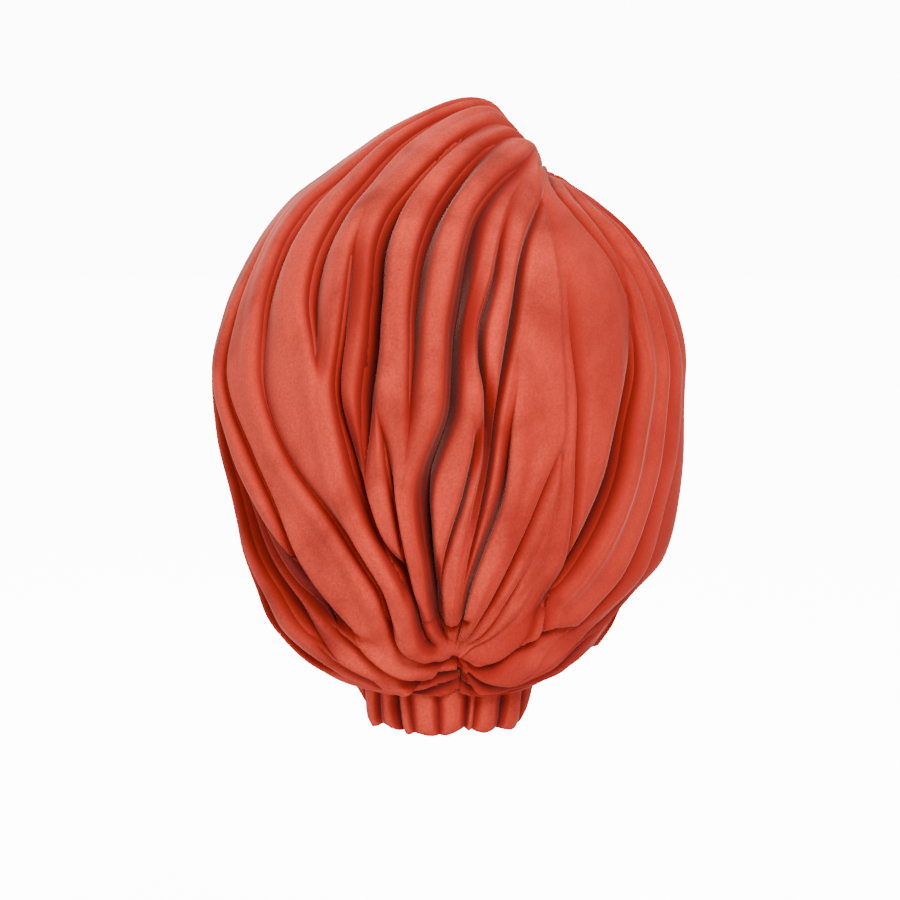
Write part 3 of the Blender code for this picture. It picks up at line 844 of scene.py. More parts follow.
def make_piece(name: str, points: np.ndarray, faces: list) -> bpy.types.Object:
    """Build a smooth mesh object in metres with outward faces.

    Args:
        name: piece name.
        points: corners in millimetres.
        faces: corner indices of each face.

    Returns:
        The new object.
    """
    mesh = bpy.data.meshes.new(name)
    mesh.from_pydata([tuple(p) for p in points * MM], [], faces)
    body = bmesh.new()
    body.from_mesh(mesh)
    if body.calc_volume(signed=True) < 0:
        bmesh.ops.reverse_faces(body, faces=body.faces)
    body.to_mesh(mesh)
    body.free()
    mesh.shade_smooth()
    piece = bpy.data.objects.new(name, mesh)
    bpy.context.collection.objects.link(piece)
    return piece


def add_values(piece: bpy.types.Object, name: str, values: np.ndarray) -> None:
    """Store one number at each corner for the material to read.

    Args:
        piece: mesh object.
        name: attribute name.
        values: one number for each corner.
    """
    layer = piece.data.attributes.new(name, "FLOAT", "POINT")
    layer.data.foreach_set("value", np.asarray(values, dtype=np.float32))


def close_cloth(outer: np.ndarray, inner: np.ndarray, cells: list, corner_at: dict) -> tuple:
    """Join a fine outer sheet and an inner sheet of every second row and column.

    Args:
        outer: corners of the outer sheet.
        inner: inner corners, one for each outer corner.
        cells: row and column of the first corner of each outer quad.
        corner_at: index of the outer corner at each row and column.

    Returns:
        All corners, all faces, and which outer corners have an inner one.
    """
    even = {key: i for i, key in enumerate(k for k in corner_at
                                           if k[0] % 2 == 0 and k[1] % 2 == 0)}
    size = len(outer)
    faces, coarse = [], []
    for row, col in cells:
        faces.append((corner_at[row, col], corner_at[row, col + 1],
                      corner_at[row + 1, col + 1], corner_at[row + 1, col]))
        if row % 2 == 0 and col % 2 == 0:
            coarse.append(((row, col), (row, col + 2), (row + 2, col + 2), (row + 2, col)))
    sides = set()
    for face in coarse:
        faces.append(tuple(size + even[key] for key in reversed(face)))
        sides.update((key, face[(i + 1) % 4]) for i, key in enumerate(face))
    for a, b in sorted(sides):
        if (b, a) not in sides:
            middle = corner_at[(a[0] + b[0]) // 2, (a[1] + b[1]) // 2]
            faces.append((corner_at[b], middle, corner_at[a], size + even[a], size + even[b]))
    kept = np.array([corner_at[key] for key in even])
    return np.concatenate([outer, inner[kept]]), faces, kept


@dataclass
class Wrap:
    """One cloth wrap, from the crown pinch to the nape gather and the rim.

    columns counts corners from the free edge to the rim behind the ear, and
    front_columns those from there to the front seam. columns is odd, and
    front_columns and both row counts are even, so that the coarser inner
    sheet ends at every edge.
    lap and tuck run the right wrap under the left one, and hem thins the left
    one's end. The lay share paints shade on the crests, where the pile lies the other way.
    """

    name: str
    node: str
    side: Side
    shape: WrapShape
    lap_over: WrapShape
    columns: int
    front_columns: int
    ear_sweep: float
    flat: tuple
    cut_area: float
    ear_columns: int = 14
    rows_to_ear: int = 116
    rows_behind: int = 80
    first_row: float = 0.25
    last_row: float = 179.8
    crowd: float = 1.3
    wall: float = 1.5
    steepest: float = 2.6
    slope_step: float = 0.5
    gap: float = 0.5
    least_depth: float = 6.5
    least_stretch: float = 0.35
    crowding: float = 6.0
    wall_columns: int = 7
    ease: float = 0.45
    # share of painted shade added on the crests
    lay_shade: float = 0.0
    lap: float = 2.0
    lap_most: float = 60.0
    lap_gap: float = 0.6
    seam_lap: float = 4.0
    seam_wave: float = 1.5
    hem_reach: float = 3.5
    hem_thin: float = 0.6
    seam_lap_most: float = 40.0
    seam_pace: float = 1.3
    tuck_reach: float = 1.6
    tuck_full: float = 0.75
    tuck_wall: float = 1.3
    ring: float = 120.0
    ring_least: float = 0.02
    front_share: float = 0.75
    ear_margin: float = 2.0
    strip_margin: float = 1.0
    seam_margin: float = 3.0
    joined: float = 0.5
    lay_shade_until: float = 0.3

    def anchors(self, folds: list, sweep: float) -> np.ndarray:
        """Bottom and crest of each fold's steep side, signed to rise outwards.

        Args:
            folds: folds from the free edge outwards.
            sweep: sweep of this row.

        Returns:
            Two turns for each fold.
        """
        at = np.array([float(sweep)])
        places = []
        for fold in folds:
            steep = min(fold.left, fold.right) * (1.0 + self.shape.widening(at))
            line = self.shape.fold_line(fold, at)
            crest = line + steep if fold.left < fold.right else line - steep
            pair = [self.side.value * float(self.shape.bent(turn, at)[0]) for turn in (line, crest)]
            places += sorted(pair)
        return np.array(places)

    def spread(self, first: float, last: float, plan: tuple, sweep: float) -> np.ndarray:
        """Place columns between two turns so that each fold keeps its columns.

        Args:
            first: first turn.
            last: last turn.
            plan: folds, and columns in each stretch between their sides.
            sweep: sweep of this row.

        Returns:
            Turns of the columns.
        """
        folds, counts = plan
        sign = self.side.value
        low, high = sign * first, sign * last
        least = min(self.least_stretch, 0.5 * (high - low) / (len(counts) + 1.0))
        knots = np.concatenate([[low], self.anchors(folds, sweep), [high]])
        for i in range(1, len(knots) - 1):
            knots[i] = max(knots[i], knots[i - 1] + least)
        for i in range(len(knots) - 2, 0, -1):
            knots[i] = min(knots[i], knots[i + 1] - least)
        turns = [knots[:1]]
        for i, count in enumerate(counts):
            part = np.arange(1, count + 1) / count
            ease = self.ease if i % 2 == 0 else 0.0
            part = (1.0 - ease) * part + ease * 0.5 * (1.0 - np.cos(np.pi * part))
            turns.append(knots[i] + (knots[i + 1] - knots[i]) * part)
        return sign * np.concatenate(turns)

    def plan(self, low: float, high: float, count: int) -> tuple:
        """Choose the folds between two turns and share the columns out.

        Args:
            low: turn at the free edge's side, signed to rise outwards.
            high: turn at the outer side.
            count: columns after the first one.

        Returns:
            Folds in order, and columns in each stretch.
        """
        found = []
        for fold in self.shape.folds:
            weights = np.array(fold.depth, dtype=float)
            middle = self.side.value * float(np.dot(weights, fold.line) / weights.sum())
            if weights.max() >= self.least_depth and low < middle < high:
                found.append((middle, fold))
        found.sort(key=lambda pair: pair[0])
        knots = np.array([low] + [pair[0] for pair in found] + [high])
        share = np.diff(knots) + self.crowding
        counts = [self.wall_columns] * (2 * len(found) + 1)
        left_over = count - self.wall_columns * len(found)
        softs = np.maximum(2, np.floor(share / share.sum() * left_over)).astype(int)
        while softs.sum() < left_over:
            softs[int(np.argmax(share / softs))] += 1
        while softs.sum() > left_over:
            softs[int(np.argmax(softs))] -= 1
        counts[::2] = [int(n) for n in softs]
        return [pair[1] for pair in found], counts

    def as_turn(self, size: float, sweep: float) -> float:
        """Turn that a length across the folds makes at a sweep.

        Args:
            size: millimetres.
            sweep: sweep of this row.

        Returns:
            Degrees of turn.
        """
        return math.degrees(size / (self.ring * math.sin(math.radians(sweep))))

    def lap_turn(self, sweep: float) -> float:
        """How far the right wrap runs under the left one, in degrees.

        Args:
            sweep: sweep of this row.

        Returns:
            Degrees of turn.
        """
        return min(self.lap_most, max(self.lap, self.as_turn(2 * self.lap, sweep)))

    def seam_turn(self, sweep: float) -> float:
        """Turn at which this wrap ends at the seam of the front and the nape.

        The left wrap laps over the right one behind the nape gather.

        Args:
            sweep: sweep of this row.

        Returns:
            Degrees of turn, without a sign.
        """
        if self.side is Side.LEFT and sweep > HALFWAY:
            lap = self.seam_lap + self.seam_wave * math.sin(sweep / self.seam_pace)
            return SEAM + min(self.seam_lap_most, self.as_turn(lap, sweep))
        if self.side is Side.RIGHT and sweep > HALFWAY:
            return SEAM
        return SEAM - self.as_turn(0.5 * self.gap, sweep)

    def grid(self) -> tuple:
        """Turns and sweeps of all corners, and how they join.

        Returns:
            Turns, sweeps, cells and the index of each corner.
        """
        sign = self.side.value
        rim = self.shape.rim
        to_ear = np.linspace(self.first_row, self.ear_sweep, self.rows_to_ear + 1)
        share = 1.0 - (1.0 - np.linspace(0.0, 1.0, self.rows_behind + 1)[1:]) ** self.crowd
        sweeps = np.concatenate([to_ear, self.ear_sweep + (self.last_row - self.ear_sweep) * share])
        ear_row = int(np.argmin(np.abs(sweeps - rim.ear_sweep)))
        main_turn, front_turn, front_sweep = [], [], []
        nearest = STATIONS[-1] if self.side is Side.LEFT else STATIONS[0]
        start = sign * float(self.shape.edge_turn(nearest))
        main_plan = self.plan(start, rim.ear_turn - self.ear_margin, self.columns - 2)
        strip = rim.near_ear(self.ear_columns)
        front_plan = self.plan(strip[-1] + self.strip_margin, SEAM - self.seam_margin,
                               self.front_columns - self.ear_columns)
        for row, sweep in enumerate(sweeps):
            back = float(rim.back_turn(sweep))
            last = sign * (back if back < SEAM - self.joined else self.seam_turn(sweep))
            edge = float(self.shape.edge_turn(sweep))
            if self.side is Side.LEFT:
                inner = self.spread(edge + self.lap, last, main_plan, sweep)
                main_turn.append(np.concatenate([[edge], inner]))
            else:
                inner = self.spread(edge, last, main_plan, sweep)
                main_turn.append(np.concatenate([[edge + self.lap_turn(sweep)], inner]))
            if row <= ear_row:
                part = (sweep - self.first_row) / (sweeps[ear_row] - self.first_row)
                seam = sign * self.seam_turn(min(sweep, HALFWAY))
                turn = self.spread(sign * strip[-1], seam, front_plan, sweep * self.front_share)
                turn = np.concatenate([sign * strip[:-1], turn])
                front_turn.append(turn)
                front_sweep.append(self.first_row
                                   + part * (rim.front_sweep(turn) - self.first_row))
        rows = len(sweeps)
        main_sweep = np.repeat(sweeps[:, None], self.columns, axis=1)
        corner_at = {}
        for row in range(rows):
            for col in range(self.columns):
                corner_at[row, col] = row * self.columns + col
        first_front = rows * self.columns - self.columns
        for row in range(ear_row + 1):
            for col in range(self.columns, self.columns + self.front_columns):
                corner_at[row, col] = first_front + row * self.front_columns + col
        cells = [key for key in corner_at if (key[0] + 1, key[1] + 1) in corner_at
                 and (key[0], key[1] + 1) in corner_at]
        turn = np.concatenate([np.ravel(main_turn), np.ravel(front_turn)])
        sweep = np.concatenate([main_sweep.ravel(), np.ravel(front_sweep)])
        return turn, sweep, cells, corner_at

    def wall_along_ray(self, shape: WrapShape, turn: np.ndarray,
                       sweep: np.ndarray) -> np.ndarray:
        """Wall measured along the ray, larger where the cloth is steep.

        Args:
            shape: the wrap's shape.
            turn: turns in degrees.
            sweep: sweeps in degrees.

        Returns:
            Wall in millimetres.
        """
        step = self.slope_step
        after = np.minimum(sweep + step, self.last_row)
        before = np.maximum(sweep - step, self.first_row)
        arc = shape.shape(turn, sweep)[0] * math.radians(1.0)
        along = (shape.shape(turn, after)[0] - shape.shape(turn, before)[0]) / (after - before)
        across = (shape.shape(turn + step, sweep)[0] - shape.shape(turn - step, sweep)[0])
        across = across / (2 * step * np.sin(np.radians(sweep)))
        rise = np.hypot(along, across) / arc
        return self.wall * np.minimum(np.sqrt(1.0 + rise * rise), self.steepest)

    def hem_thinning(self, turn: np.ndarray, sweep: np.ndarray) -> np.ndarray:
        """How much thinner the left wrap is towards its end under the nape gather.

        Args:
            turn: turns in degrees.
            sweep: sweeps in degrees.

        Returns:
            Millimetres taken off the outside.
        """
        ends = np.array([self.seam_turn(float(value)) for value in sweep])
        to_end = np.radians(ends - turn) * self.ring * np.sin(np.radians(sweep))
        hem = 1.0 - smooth_step(0.0, self.hem_reach, to_end)
        return self.hem_thin * self.wall * np.where(sweep > HALFWAY, hem, 0.0)

    def tucked(self, outer: np.ndarray, turn: np.ndarray, sweep: np.ndarray) -> np.ndarray:
        """Radius of the right wrap where it runs under the left one.

        Args:
            outer: radius of the right wrap by itself.
            turn: turns in degrees.
            sweep: sweeps in degrees.

        Returns:
            Radius in millimetres.
        """
        under = turn > self.shape.edge_turn(sweep) - TINY
        cover = self.lap_over.shape(turn, sweep)[0]
        cover = cover - self.wall_along_ray(self.lap_over, turn, sweep) - self.lap_gap
        outer = np.where(under, cover, outer)
        ring = self.ring * np.maximum(np.sin(np.radians(sweep)), self.ring_least)
        over = np.minimum(np.degrees(self.tuck_reach * self.seam_lap / ring),
                          self.tuck_reach * self.seam_lap_most)
        near_seam = 1.0 - smooth_step(self.tuck_full * over, over, turn + SEAM)
        cover = self.lap_over.shape(turn + FULL_TURN, sweep)[0]
        cover = cover - self.tuck_wall * self.wall - self.lap_gap
        below = near_seam * (np.minimum(outer, cover) - outer)
        return np.where(sweep > HALFWAY, outer + below, outer)

    def build(self) -> bpy.types.Object:
        """Build the wrap's mesh.

        Returns:
            The new object.
        """
        turn, sweep, cells, corner_at = self.grid()
        outer, leaned, grooves = self.shape.shape(turn, sweep)
        wall = self.wall_along_ray(self.shape, turn, sweep)
        if self.side is Side.LEFT:
            thinner = self.hem_thinning(turn, sweep)
            outer = outer - thinner
            wall = wall - thinner
        else:
            outer = self.tucked(outer, turn, sweep)
        poles = self.shape.form.poles
        rays = poles.direction(leaned, sweep)
        top = poles.centre + rays * outer[:, None]
        low = poles.centre + rays * (outer - wall)[:, None]
        points, faces, kept = close_cloth(top, low, cells, corner_at)
        piece = make_piece(self.name, points, faces)
        # painted shade mask: groove depth, stored for the material to darken the grooves
        tone = grooves / SHADE_TONE_DEPTH
        tone = tone + self.lay_shade * (1.0 - smooth_step(0.0, self.lay_shade_until, tone))
        add_values(piece, "groove", np.concatenate([tone, tone[kept]]))
        return piece

    def dress(self, piece: bpy.types.Object, material: bpy.types.Material) -> None:
        """Give the wrap its finish and tie it to the frame.

        Args:
            piece: the wrap's object.
            material: its finish.
        """
        piece.data.materials.append(material)
        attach(piece, "root")
        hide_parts(self.node)


@dataclass(frozen=True)
class Pucker:
    """One gather line of the band: place along the rim from the nape, depth and widths."""

    place: float
    depth: float
    left: float
    right: float


NAPE_PUCKERS = (
    Pucker(49.0, 2.0, 6, 6), Pucker(37.0, 2.6, 6, 9), Pucker(25.5, 3.4, 9, 4),
    Pucker(19.0, 2.2, 5, 9), Pucker(4.0, 2.2, 9, 9), Pucker(-11.5, 3.0, 9, 3),
    Pucker(-15.5, 2.0, 3, 9), Pucker(-30.0, 3.2, 9, 7), Pucker(-42.0, 2.2, 6, 7),
)


@dataclass
class EdgeBand:
    """Band round the head opening, a hem in front and ruffles at the nape.

    tuck and drop are the widths of its hidden and its shown part, in front
    and at the nape. Each row of insets holds a level, -1 at the hidden edge
    and 1 at the shown one, with the distance in from the rim and the share of
    the gathers' depth there.
    """

    name: str
    node: str
    rims: tuple
    poles: Poles
    flat: tuple
    cut_area: float
    puckers: tuple = NAPE_PUCKERS
    steps: int = 1500
    rows: int = 21
    tuck: tuple = (6.0, 2.0)
    drop: tuple = (3.0, 21.0)
    insets: tuple = ((-1.0, 14.4, 0.1), (0.0, 13.0, 0.4), (0.45, 8.2, 1.0), (0.8, 6.0, 0.9),
                     (1.0, 7.2, 0.6))
    narrow: float = 1.7
    slant: float = 3.0
    slant_pace: float = 13.0
    inset_back: float = 2.0
    wall: float = 1.5
    smoothing: int = 60
    pitch: float = 12.5
    pitch_drift: float = 2.5
    side_depth: float = 2.2
    side_start: float = 60.0
    side_wide: float = 6.0
    side_paces: tuple = (2.3, 1.7)
    side_uneven: float = 0.3
    scallop: float = 1.6
    lift: float = 3.0
    front_gather: float = 0.25
    nape_back: tuple = (46.0, 74.0)
    nape_down: tuple = (0.0, -40.0)
    ear_back: tuple = (15.0, 40.0)
    hang: float = 0.75
    waves: tuple = ((1.1, 7.0, 0.0), (0.7, 3.3, 1.0))
    # gather depth that gives the full painted shade
    shade_tone_depth: float = 4.0

    def path(self) -> tuple:
        """Even points round the opening with outward and downward directions.

        Returns:
            Points, outward and downward unit vectors, places from the nape and
            the length of the whole rim.
        """
        left, right = self.rims
        loop = np.vstack([left.path, right.path[::-1][1:-1]])
        closed = np.vstack([loop, loop[:1]])
        steps = np.linalg.norm(np.diff(closed, axis=0), axis=1)
        length = np.concatenate([[0.0], np.cumsum(steps)])
        at = np.arange(self.steps) / self.steps * length[-1]
        even = np.stack([np.interp(at, length, closed[:, k]) for k in range(3)], axis=1)
        for _ in range(self.smoothing):
            even = (np.roll(even, 1, axis=0) + 2 * even + np.roll(even, -1, axis=0)) / 4
        along = np.roll(even, -1, axis=0) - np.roll(even, 1, axis=0)
        along = along / np.linalg.norm(along, axis=1)[:, None]
        out = even - self.poles.centre
        out = out - np.sum(out * along, axis=1)[:, None] * along
        out = out / np.linalg.norm(out, axis=1)[:, None]
        down = np.cross(along, out)
        nape = length[len(left.path) - 1]
        return even, out, down * np.sign(-down[:, 2:3]), nape - at, length[-1]

    def gathers(self, place: np.ndarray, around: float) -> np.ndarray:
        """Depth of the gather lines at each place along the rim.

        Args:
            place: millimetres from the nape, rising to the left.
            around: length of the whole rim.

        Returns:
            Depths in millimetres.
        """
        lines = list(self.puckers)
        count = int((around - 2 * self.side_start) / self.pitch)
        for k in range(count):
            drift = self.pitch_drift * math.sin(self.side_paces[0] * k)
            uneven = self.side_uneven * (math.cos(self.side_paces[1] * k) - 1.0)
            lines.append(Pucker(self.side_start + k * self.pitch + drift,
                                self.side_depth * (1.0 + uneven), self.side_wide, self.side_wide))
        depth = np.zeros(place.shape)
        for line in lines:
            shift = (place - line.place + around / 2) % around - around / 2
            wide = np.where(shift > 0, line.left, line.right)
            part = np.clip(1.0 - np.abs(shift) / wide, 0.0, 1.0)
            section = (groove_wall(part) + part ** 2) / 2
            depth = np.maximum(depth, line.depth * section)
        return depth

    def build(self) -> bpy.types.Object:
        """Build the band's mesh.

        Returns:
            The new object.
        """
        path, out, down, place, around = self.path()
        nape = smooth_step(*self.nape_back, path[:, 1]) * smooth_step(*self.nape_down, path[:, 2])
        tuck = self.tuck[0] + (self.tuck[1] - self.tuck[0]) * nape
        shown = self.front_gather + (1.0 - self.front_gather) * nape
        slant = self.slant * np.sin(place / self.slant_pace)
        gather = self.gathers(place + slant, around) * shown
        drop = self.drop[0] + (self.drop[1] - self.drop[0]) * nape ** self.narrow
        drop = drop - self.scallop * nape * gather / self.lift
        for height, pace, start in self.waves:
            drop = drop + nape * height * np.sin(place / pace + start)
        flat = out * np.array([1.0, 1.0, 0.0])
        flat = flat / np.linalg.norm(flat, axis=1)[:, None]
        push = out * (1 - nape[:, None]) + flat * nape[:, None]
        hang = self.hang * nape[:, None]
        fall = down * (1 - hang) + np.array([0, 0, -1.0]) * hang
        fall = fall / np.linalg.norm(fall, axis=1)[:, None]
        levels = [row[0] for row in self.insets]
        back = self.inset_back * smooth_step(*self.ear_back, path[:, 1]) * (1 - nape)
        top, low, grooves = [], [], []
        for level in np.linspace(-1.0, 1.0, self.rows):
            inset = float(monotone(levels, [row[1] for row in self.insets], level))
            wavy = float(monotone(levels, [row[2] for row in self.insets], level))
            reach = level * np.where(level < 0, tuck, drop)
            way = down if level < 0 else fall
            gather = self.gathers(place + slant * level, around) * shown
            line = path + way * reach[:, None] - out * (inset + back)[:, None]
            top.append(line + push * (self.scallop - gather * wavy)[:, None])
            low.append(line + push * (self.scallop - gather * wavy - self.wall)[:, None])
            # painted shade mask: darker with the depth of the gathers
            grooves.append(gather * wavy / self.shade_tone_depth)
        size = self.rows * self.steps
        faces = []
        for row in range(self.rows):
            for i in range(self.steps):
                here = row * self.steps + i
                after = row * self.steps + (i + 1) % self.steps
                if row + 1 < self.rows:
                    faces.append((here, after, after + self.steps, here + self.steps))
                    faces.append((size + here + self.steps, size + after + self.steps,
                                  size + after, size + here))
                if row == 0:
                    faces.append((after, here, size + here, size + after))
                if row == self.rows - 1:
                    faces.append((here, after, size + after, size + here))
        piece = make_piece(self.name, np.vstack(top + low), faces)
        add_values(piece, "groove", np.tile(np.concatenate(grooves), 2))
        return piece

    def dress(self, piece: bpy.types.Object, material: bpy.types.Material) -> None:
        """Give the band its finish and tie it to the frame.

        Args:
            piece: the band's object.
            material: its finish.
        """
        piece.data.materials.append(material)
        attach(piece, "root")
        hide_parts(self.node)


def range_node(tree: bpy.types.NodeTree, value: bpy.types.NodeSocket, span: tuple,
               to: tuple = (0.0, 1.0), smooth: bool = False) -> bpy.types.Node:
    """Add a node that maps a value from one span to another.

    Args:
        tree: node tree to add to.
        value: socket that gives the value.
        span: values that map to the two ends.
        to: the two ends.
        smooth: whether the ends are flat.

    Returns:
        The new node.
    """
    node = tree.nodes.new("ShaderNodeMapRange")
    if smooth:
        node.interpolation_type = "SMOOTHSTEP"
    node.inputs["From Min"].default_value = span[0]
    node.inputs["From Max"].default_value = span[1]
    node.inputs["To Min"].default_value = to[0]
    node.inputs["To Max"].default_value = to[1]
    tree.links.new(value, node.inputs["Value"])
    return node


def blend_colours(tree: bpy.types.NodeTree, share: bpy.types.NodeSocket,
                  first: bpy.types.NodeSocket,
                  second: bpy.types.NodeSocket) -> bpy.types.NodeSocket:
    """Add a node that blends two colours.

    Args:
        tree: node tree to add to.
        share: socket that gives the share of the second colour.
        first: colour at share 0.
        second: colour at share 1.

    Returns:
        Socket of the blended colour.
    """
    node = tree.nodes.new("ShaderNodeMix")
    node.data_type = "RGBA"
    tree.links.new(share, node.inputs["Factor"])
    tree.links.new(first, node.inputs[MIX_FIRST])
    tree.links.new(second, node.inputs[MIX_SECOND])
    return node.outputs[MIX_RESULT]


def noise_node(tree: bpy.types.NodeTree, place: bpy.types.NodeSocket,
               scale: bpy.types.NodeSocket, detail: float, distortion: float) -> bpy.types.Node:
    """Add a noise at the object's own coordinates.

    Args:
        tree: node tree to add to.
        place: coordinates.
        scale: socket that gives the scale.
        detail: number of finer layers.
        distortion: how far the noise is bent.

    Returns:
        The new node.
    """
    node = tree.nodes.new("ShaderNodeTexNoise")
    node.inputs["Detail"].default_value = detail
    node.inputs["Distortion"].default_value = distortion
    tree.links.new(place, node.inputs["Vector"])
    tree.links.new(scale, node.inputs["Scale"])
    return node


@dataclass(frozen=True)
class PileCloth:
    """Short pile cloth: colour by nap, painted shade by groove and by facing, fuzz, sheen and fine
    bump.

    crest is its colour at the top of a fold, and slope and deep are painted shade colours
    towards the bottom of a groove, slope also on faces turned from the light way, and worn is the
    colour of its brushed patches. Each span holds the values at which a blend starts and ends.
    """

    name: str
    crest: tuple = (0.38, 0.028, 0.0145, 1.0)
    # slope and deep are painted shade colours for the grooves
    slope: tuple = (0.20, 0.0045, 0.001, 1.0)
    deep: tuple = (0.070, 0.0012, 0.0004, 1.0)
    worn: tuple = (0.165, 0.011, 0.006, 1.0)
    # way the light comes from: faces turned away from it get painted shade
    light_way: tuple = (0.55, 0.45, 0.70)
    facing_shade_share: float = 0.7
    nap_scale: float = 22.0
    nap_detail: float = 5.0
    nap_bend: float = 0.6
    pile_scale: float = 1000.0
    pile_detail: float = 3.0
    worn_span: tuple = (0.42, 0.70)
    speck_span: tuple = (0.3, 0.7)
    speck: tuple = (0.80, 1.16)
    # spans of the painted shade blends, by groove depth and by facing
    slope_shade_span: tuple = (0.0, 0.30)
    away_shade_span: tuple = (0.85, -0.25)
    valley_shade_span: tuple = (0.12, 0.62)
    roughness: tuple = (0.80, 0.98)
    bump: float = 0.25
    bump_depth: float = 0.0004
    sheen: float = 0.18
    sheen_spread: float = 0.35
    sheen_tint: tuple = (1.0, 0.45, 0.36, 1.0)
    gloss: float = 0.15

    def new_group(self, name: str) -> bpy.types.ShaderNodeTree:
        """Make the effect's empty node group with its named sockets.

        Args:
            name: name of the group.

        Returns:
            The new node group.
        """
        tree = bpy.data.node_groups.new(name, "ShaderNodeTree")
        inputs = {"NodeSocketColor": ("Crest", "Slope", "Deep Shade", "Worn"),
                  "NodeSocketFloat": ("Nap Scale", "Pile Scale", "Facing Shade Share"),
                  "NodeSocketVector": ("Light Way",)}
        for kind, labels in inputs.items():
            for label in labels:
                tree.interface.new_socket(label, in_out="INPUT", socket_type=kind)
        tree.interface.new_socket("Colour", in_out="OUTPUT", socket_type="NodeSocketColor")
        tree.interface.new_socket("Height", in_out="OUTPUT", socket_type="NodeSocketFloat")
        tree.interface.new_socket("Roughness", in_out="OUTPUT", socket_type="NodeSocketFloat")
        return tree

    def group(self) -> bpy.types.ShaderNodeTree:
        """Build the shared colour, with painted shade in the grooves and on faces turned away, and
        height effect.

        Returns:
            The node group.
        """
        name = "pile_cloth_effect"
        if name in bpy.data.node_groups:
            return bpy.data.node_groups[name]
        tree = self.new_group(name)
        nodes, links = tree.nodes, tree.links
        given = nodes.new("NodeGroupInput").outputs
        out = nodes.new("NodeGroupOutput").inputs
        place = nodes.new("ShaderNodeTexCoord").outputs["Object"]
        groove = nodes.new("ShaderNodeAttribute")
        groove.attribute_name = "groove"
        nap = noise_node(tree, place, given["Nap Scale"], self.nap_detail, self.nap_bend)
        pile = noise_node(tree, place, given["Pile Scale"], self.pile_detail, 0.0)
        worn = range_node(tree, nap.outputs["Fac"], self.worn_span)
        colour = blend_colours(tree, worn.outputs["Result"], given["Crest"], given["Worn"])
        speck = range_node(tree, pile.outputs["Fac"], self.speck_span, self.speck)
        grain = nodes.new("ShaderNodeVectorMath")
        grain.operation = "SCALE"
        links.new(colour, grain.inputs[0])
        links.new(speck.outputs["Result"], grain.inputs["Scale"])
        # painted shade: slope colour where the grooves begin
        slope = range_node(tree, groove.outputs["Fac"], self.slope_shade_span, smooth=True)
        # painted shade on faces turned away from the light way
        facing = nodes.new("ShaderNodeVectorMath")
        facing.operation = "DOT_PRODUCT"
        links.new(nodes.new("ShaderNodeNewGeometry").outputs["Normal"], facing.inputs[0])
        links.new(given["Light Way"], facing.inputs[1])
        away_shade = range_node(tree, facing.outputs["Value"], self.away_shade_span, smooth=True)
        links.new(given["Facing Shade Share"], away_shade.inputs["To Max"])
        either = nodes.new("ShaderNodeMath")
        either.operation = "MAXIMUM"
        links.new(slope.outputs["Result"], either.inputs[0])
        links.new(away_shade.outputs["Result"], either.inputs[1])
        colour = blend_colours(tree, either.outputs["Value"], grain.outputs["Vector"],
                               given["Slope"])
        # painted shade: deep colour at the bottom of the grooves
        valley_shade = range_node(tree, groove.outputs["Fac"], self.valley_shade_span, smooth=True)
        colour = blend_colours(tree, valley_shade.outputs["Result"], colour, given["Deep Shade"])
        rough = range_node(tree, nap.outputs["Fac"], (0.0, 1.0), self.roughness)
        links.new(colour, out["Colour"])
        links.new(pile.outputs["Fac"], out["Height"])
        links.new(rough.outputs["Result"], out["Roughness"])
        return tree

    def build(self) -> bpy.types.Material:
        """Build the material.

        Returns:
            The new material.
        """
        material = bpy.data.materials.new(self.name)
        material.use_nodes = True
        nodes, links = material.node_tree.nodes, material.node_tree.links
        shader = nodes["Principled BSDF"]
        effect = nodes.new("ShaderNodeGroup")
        effect.node_tree = self.group()
        given = {"Crest": self.crest, "Slope": self.slope, "Deep Shade": self.deep, "Worn": self.worn,
                 "Nap Scale": self.nap_scale, "Pile Scale": self.pile_scale,
                 "Light Way": self.light_way, "Facing Shade Share": self.facing_shade_share}
        for label, value in given.items():
            effect.inputs[label].default_value = value
        bump = nodes.new("ShaderNodeBump")
        bump.inputs["Strength"].default_value = self.bump
        bump.inputs["Distance"].default_value = self.bump_depth
        links.new(effect.outputs["Height"], bump.inputs["Height"])
        links.new(effect.outputs["Colour"], shader.inputs["Base Color"])
        links.new(effect.outputs["Roughness"], shader.inputs["Roughness"])
        links.new(bump.outputs["Normal"], shader.inputs["Normal"])
        shader.inputs["Sheen Weight"].default_value = self.sheen
        shader.inputs["Sheen Roughness"].default_value = self.sheen_spread
        shader.inputs["Sheen Tint"].default_value = self.sheen_tint
        shader.inputs["Specular IOR Level"].default_value = self.gloss
        return material


@dataclass(frozen=True)
class Lamp:
    """One soft area light: place and side length in metres, power in watts."""

    name: str
    place: tuple
    size: float
    power: float


LAMPS = (
    Lamp("key", (-0.5, 1.4, 1.3), 0.8, 86.0),
    Lamp("fill", (1.4, 1.0, 0.6), 1.4, 14.0),
    Lamp("front", (0.3, -1.5, 1.1), 1.4, 28.0),
)


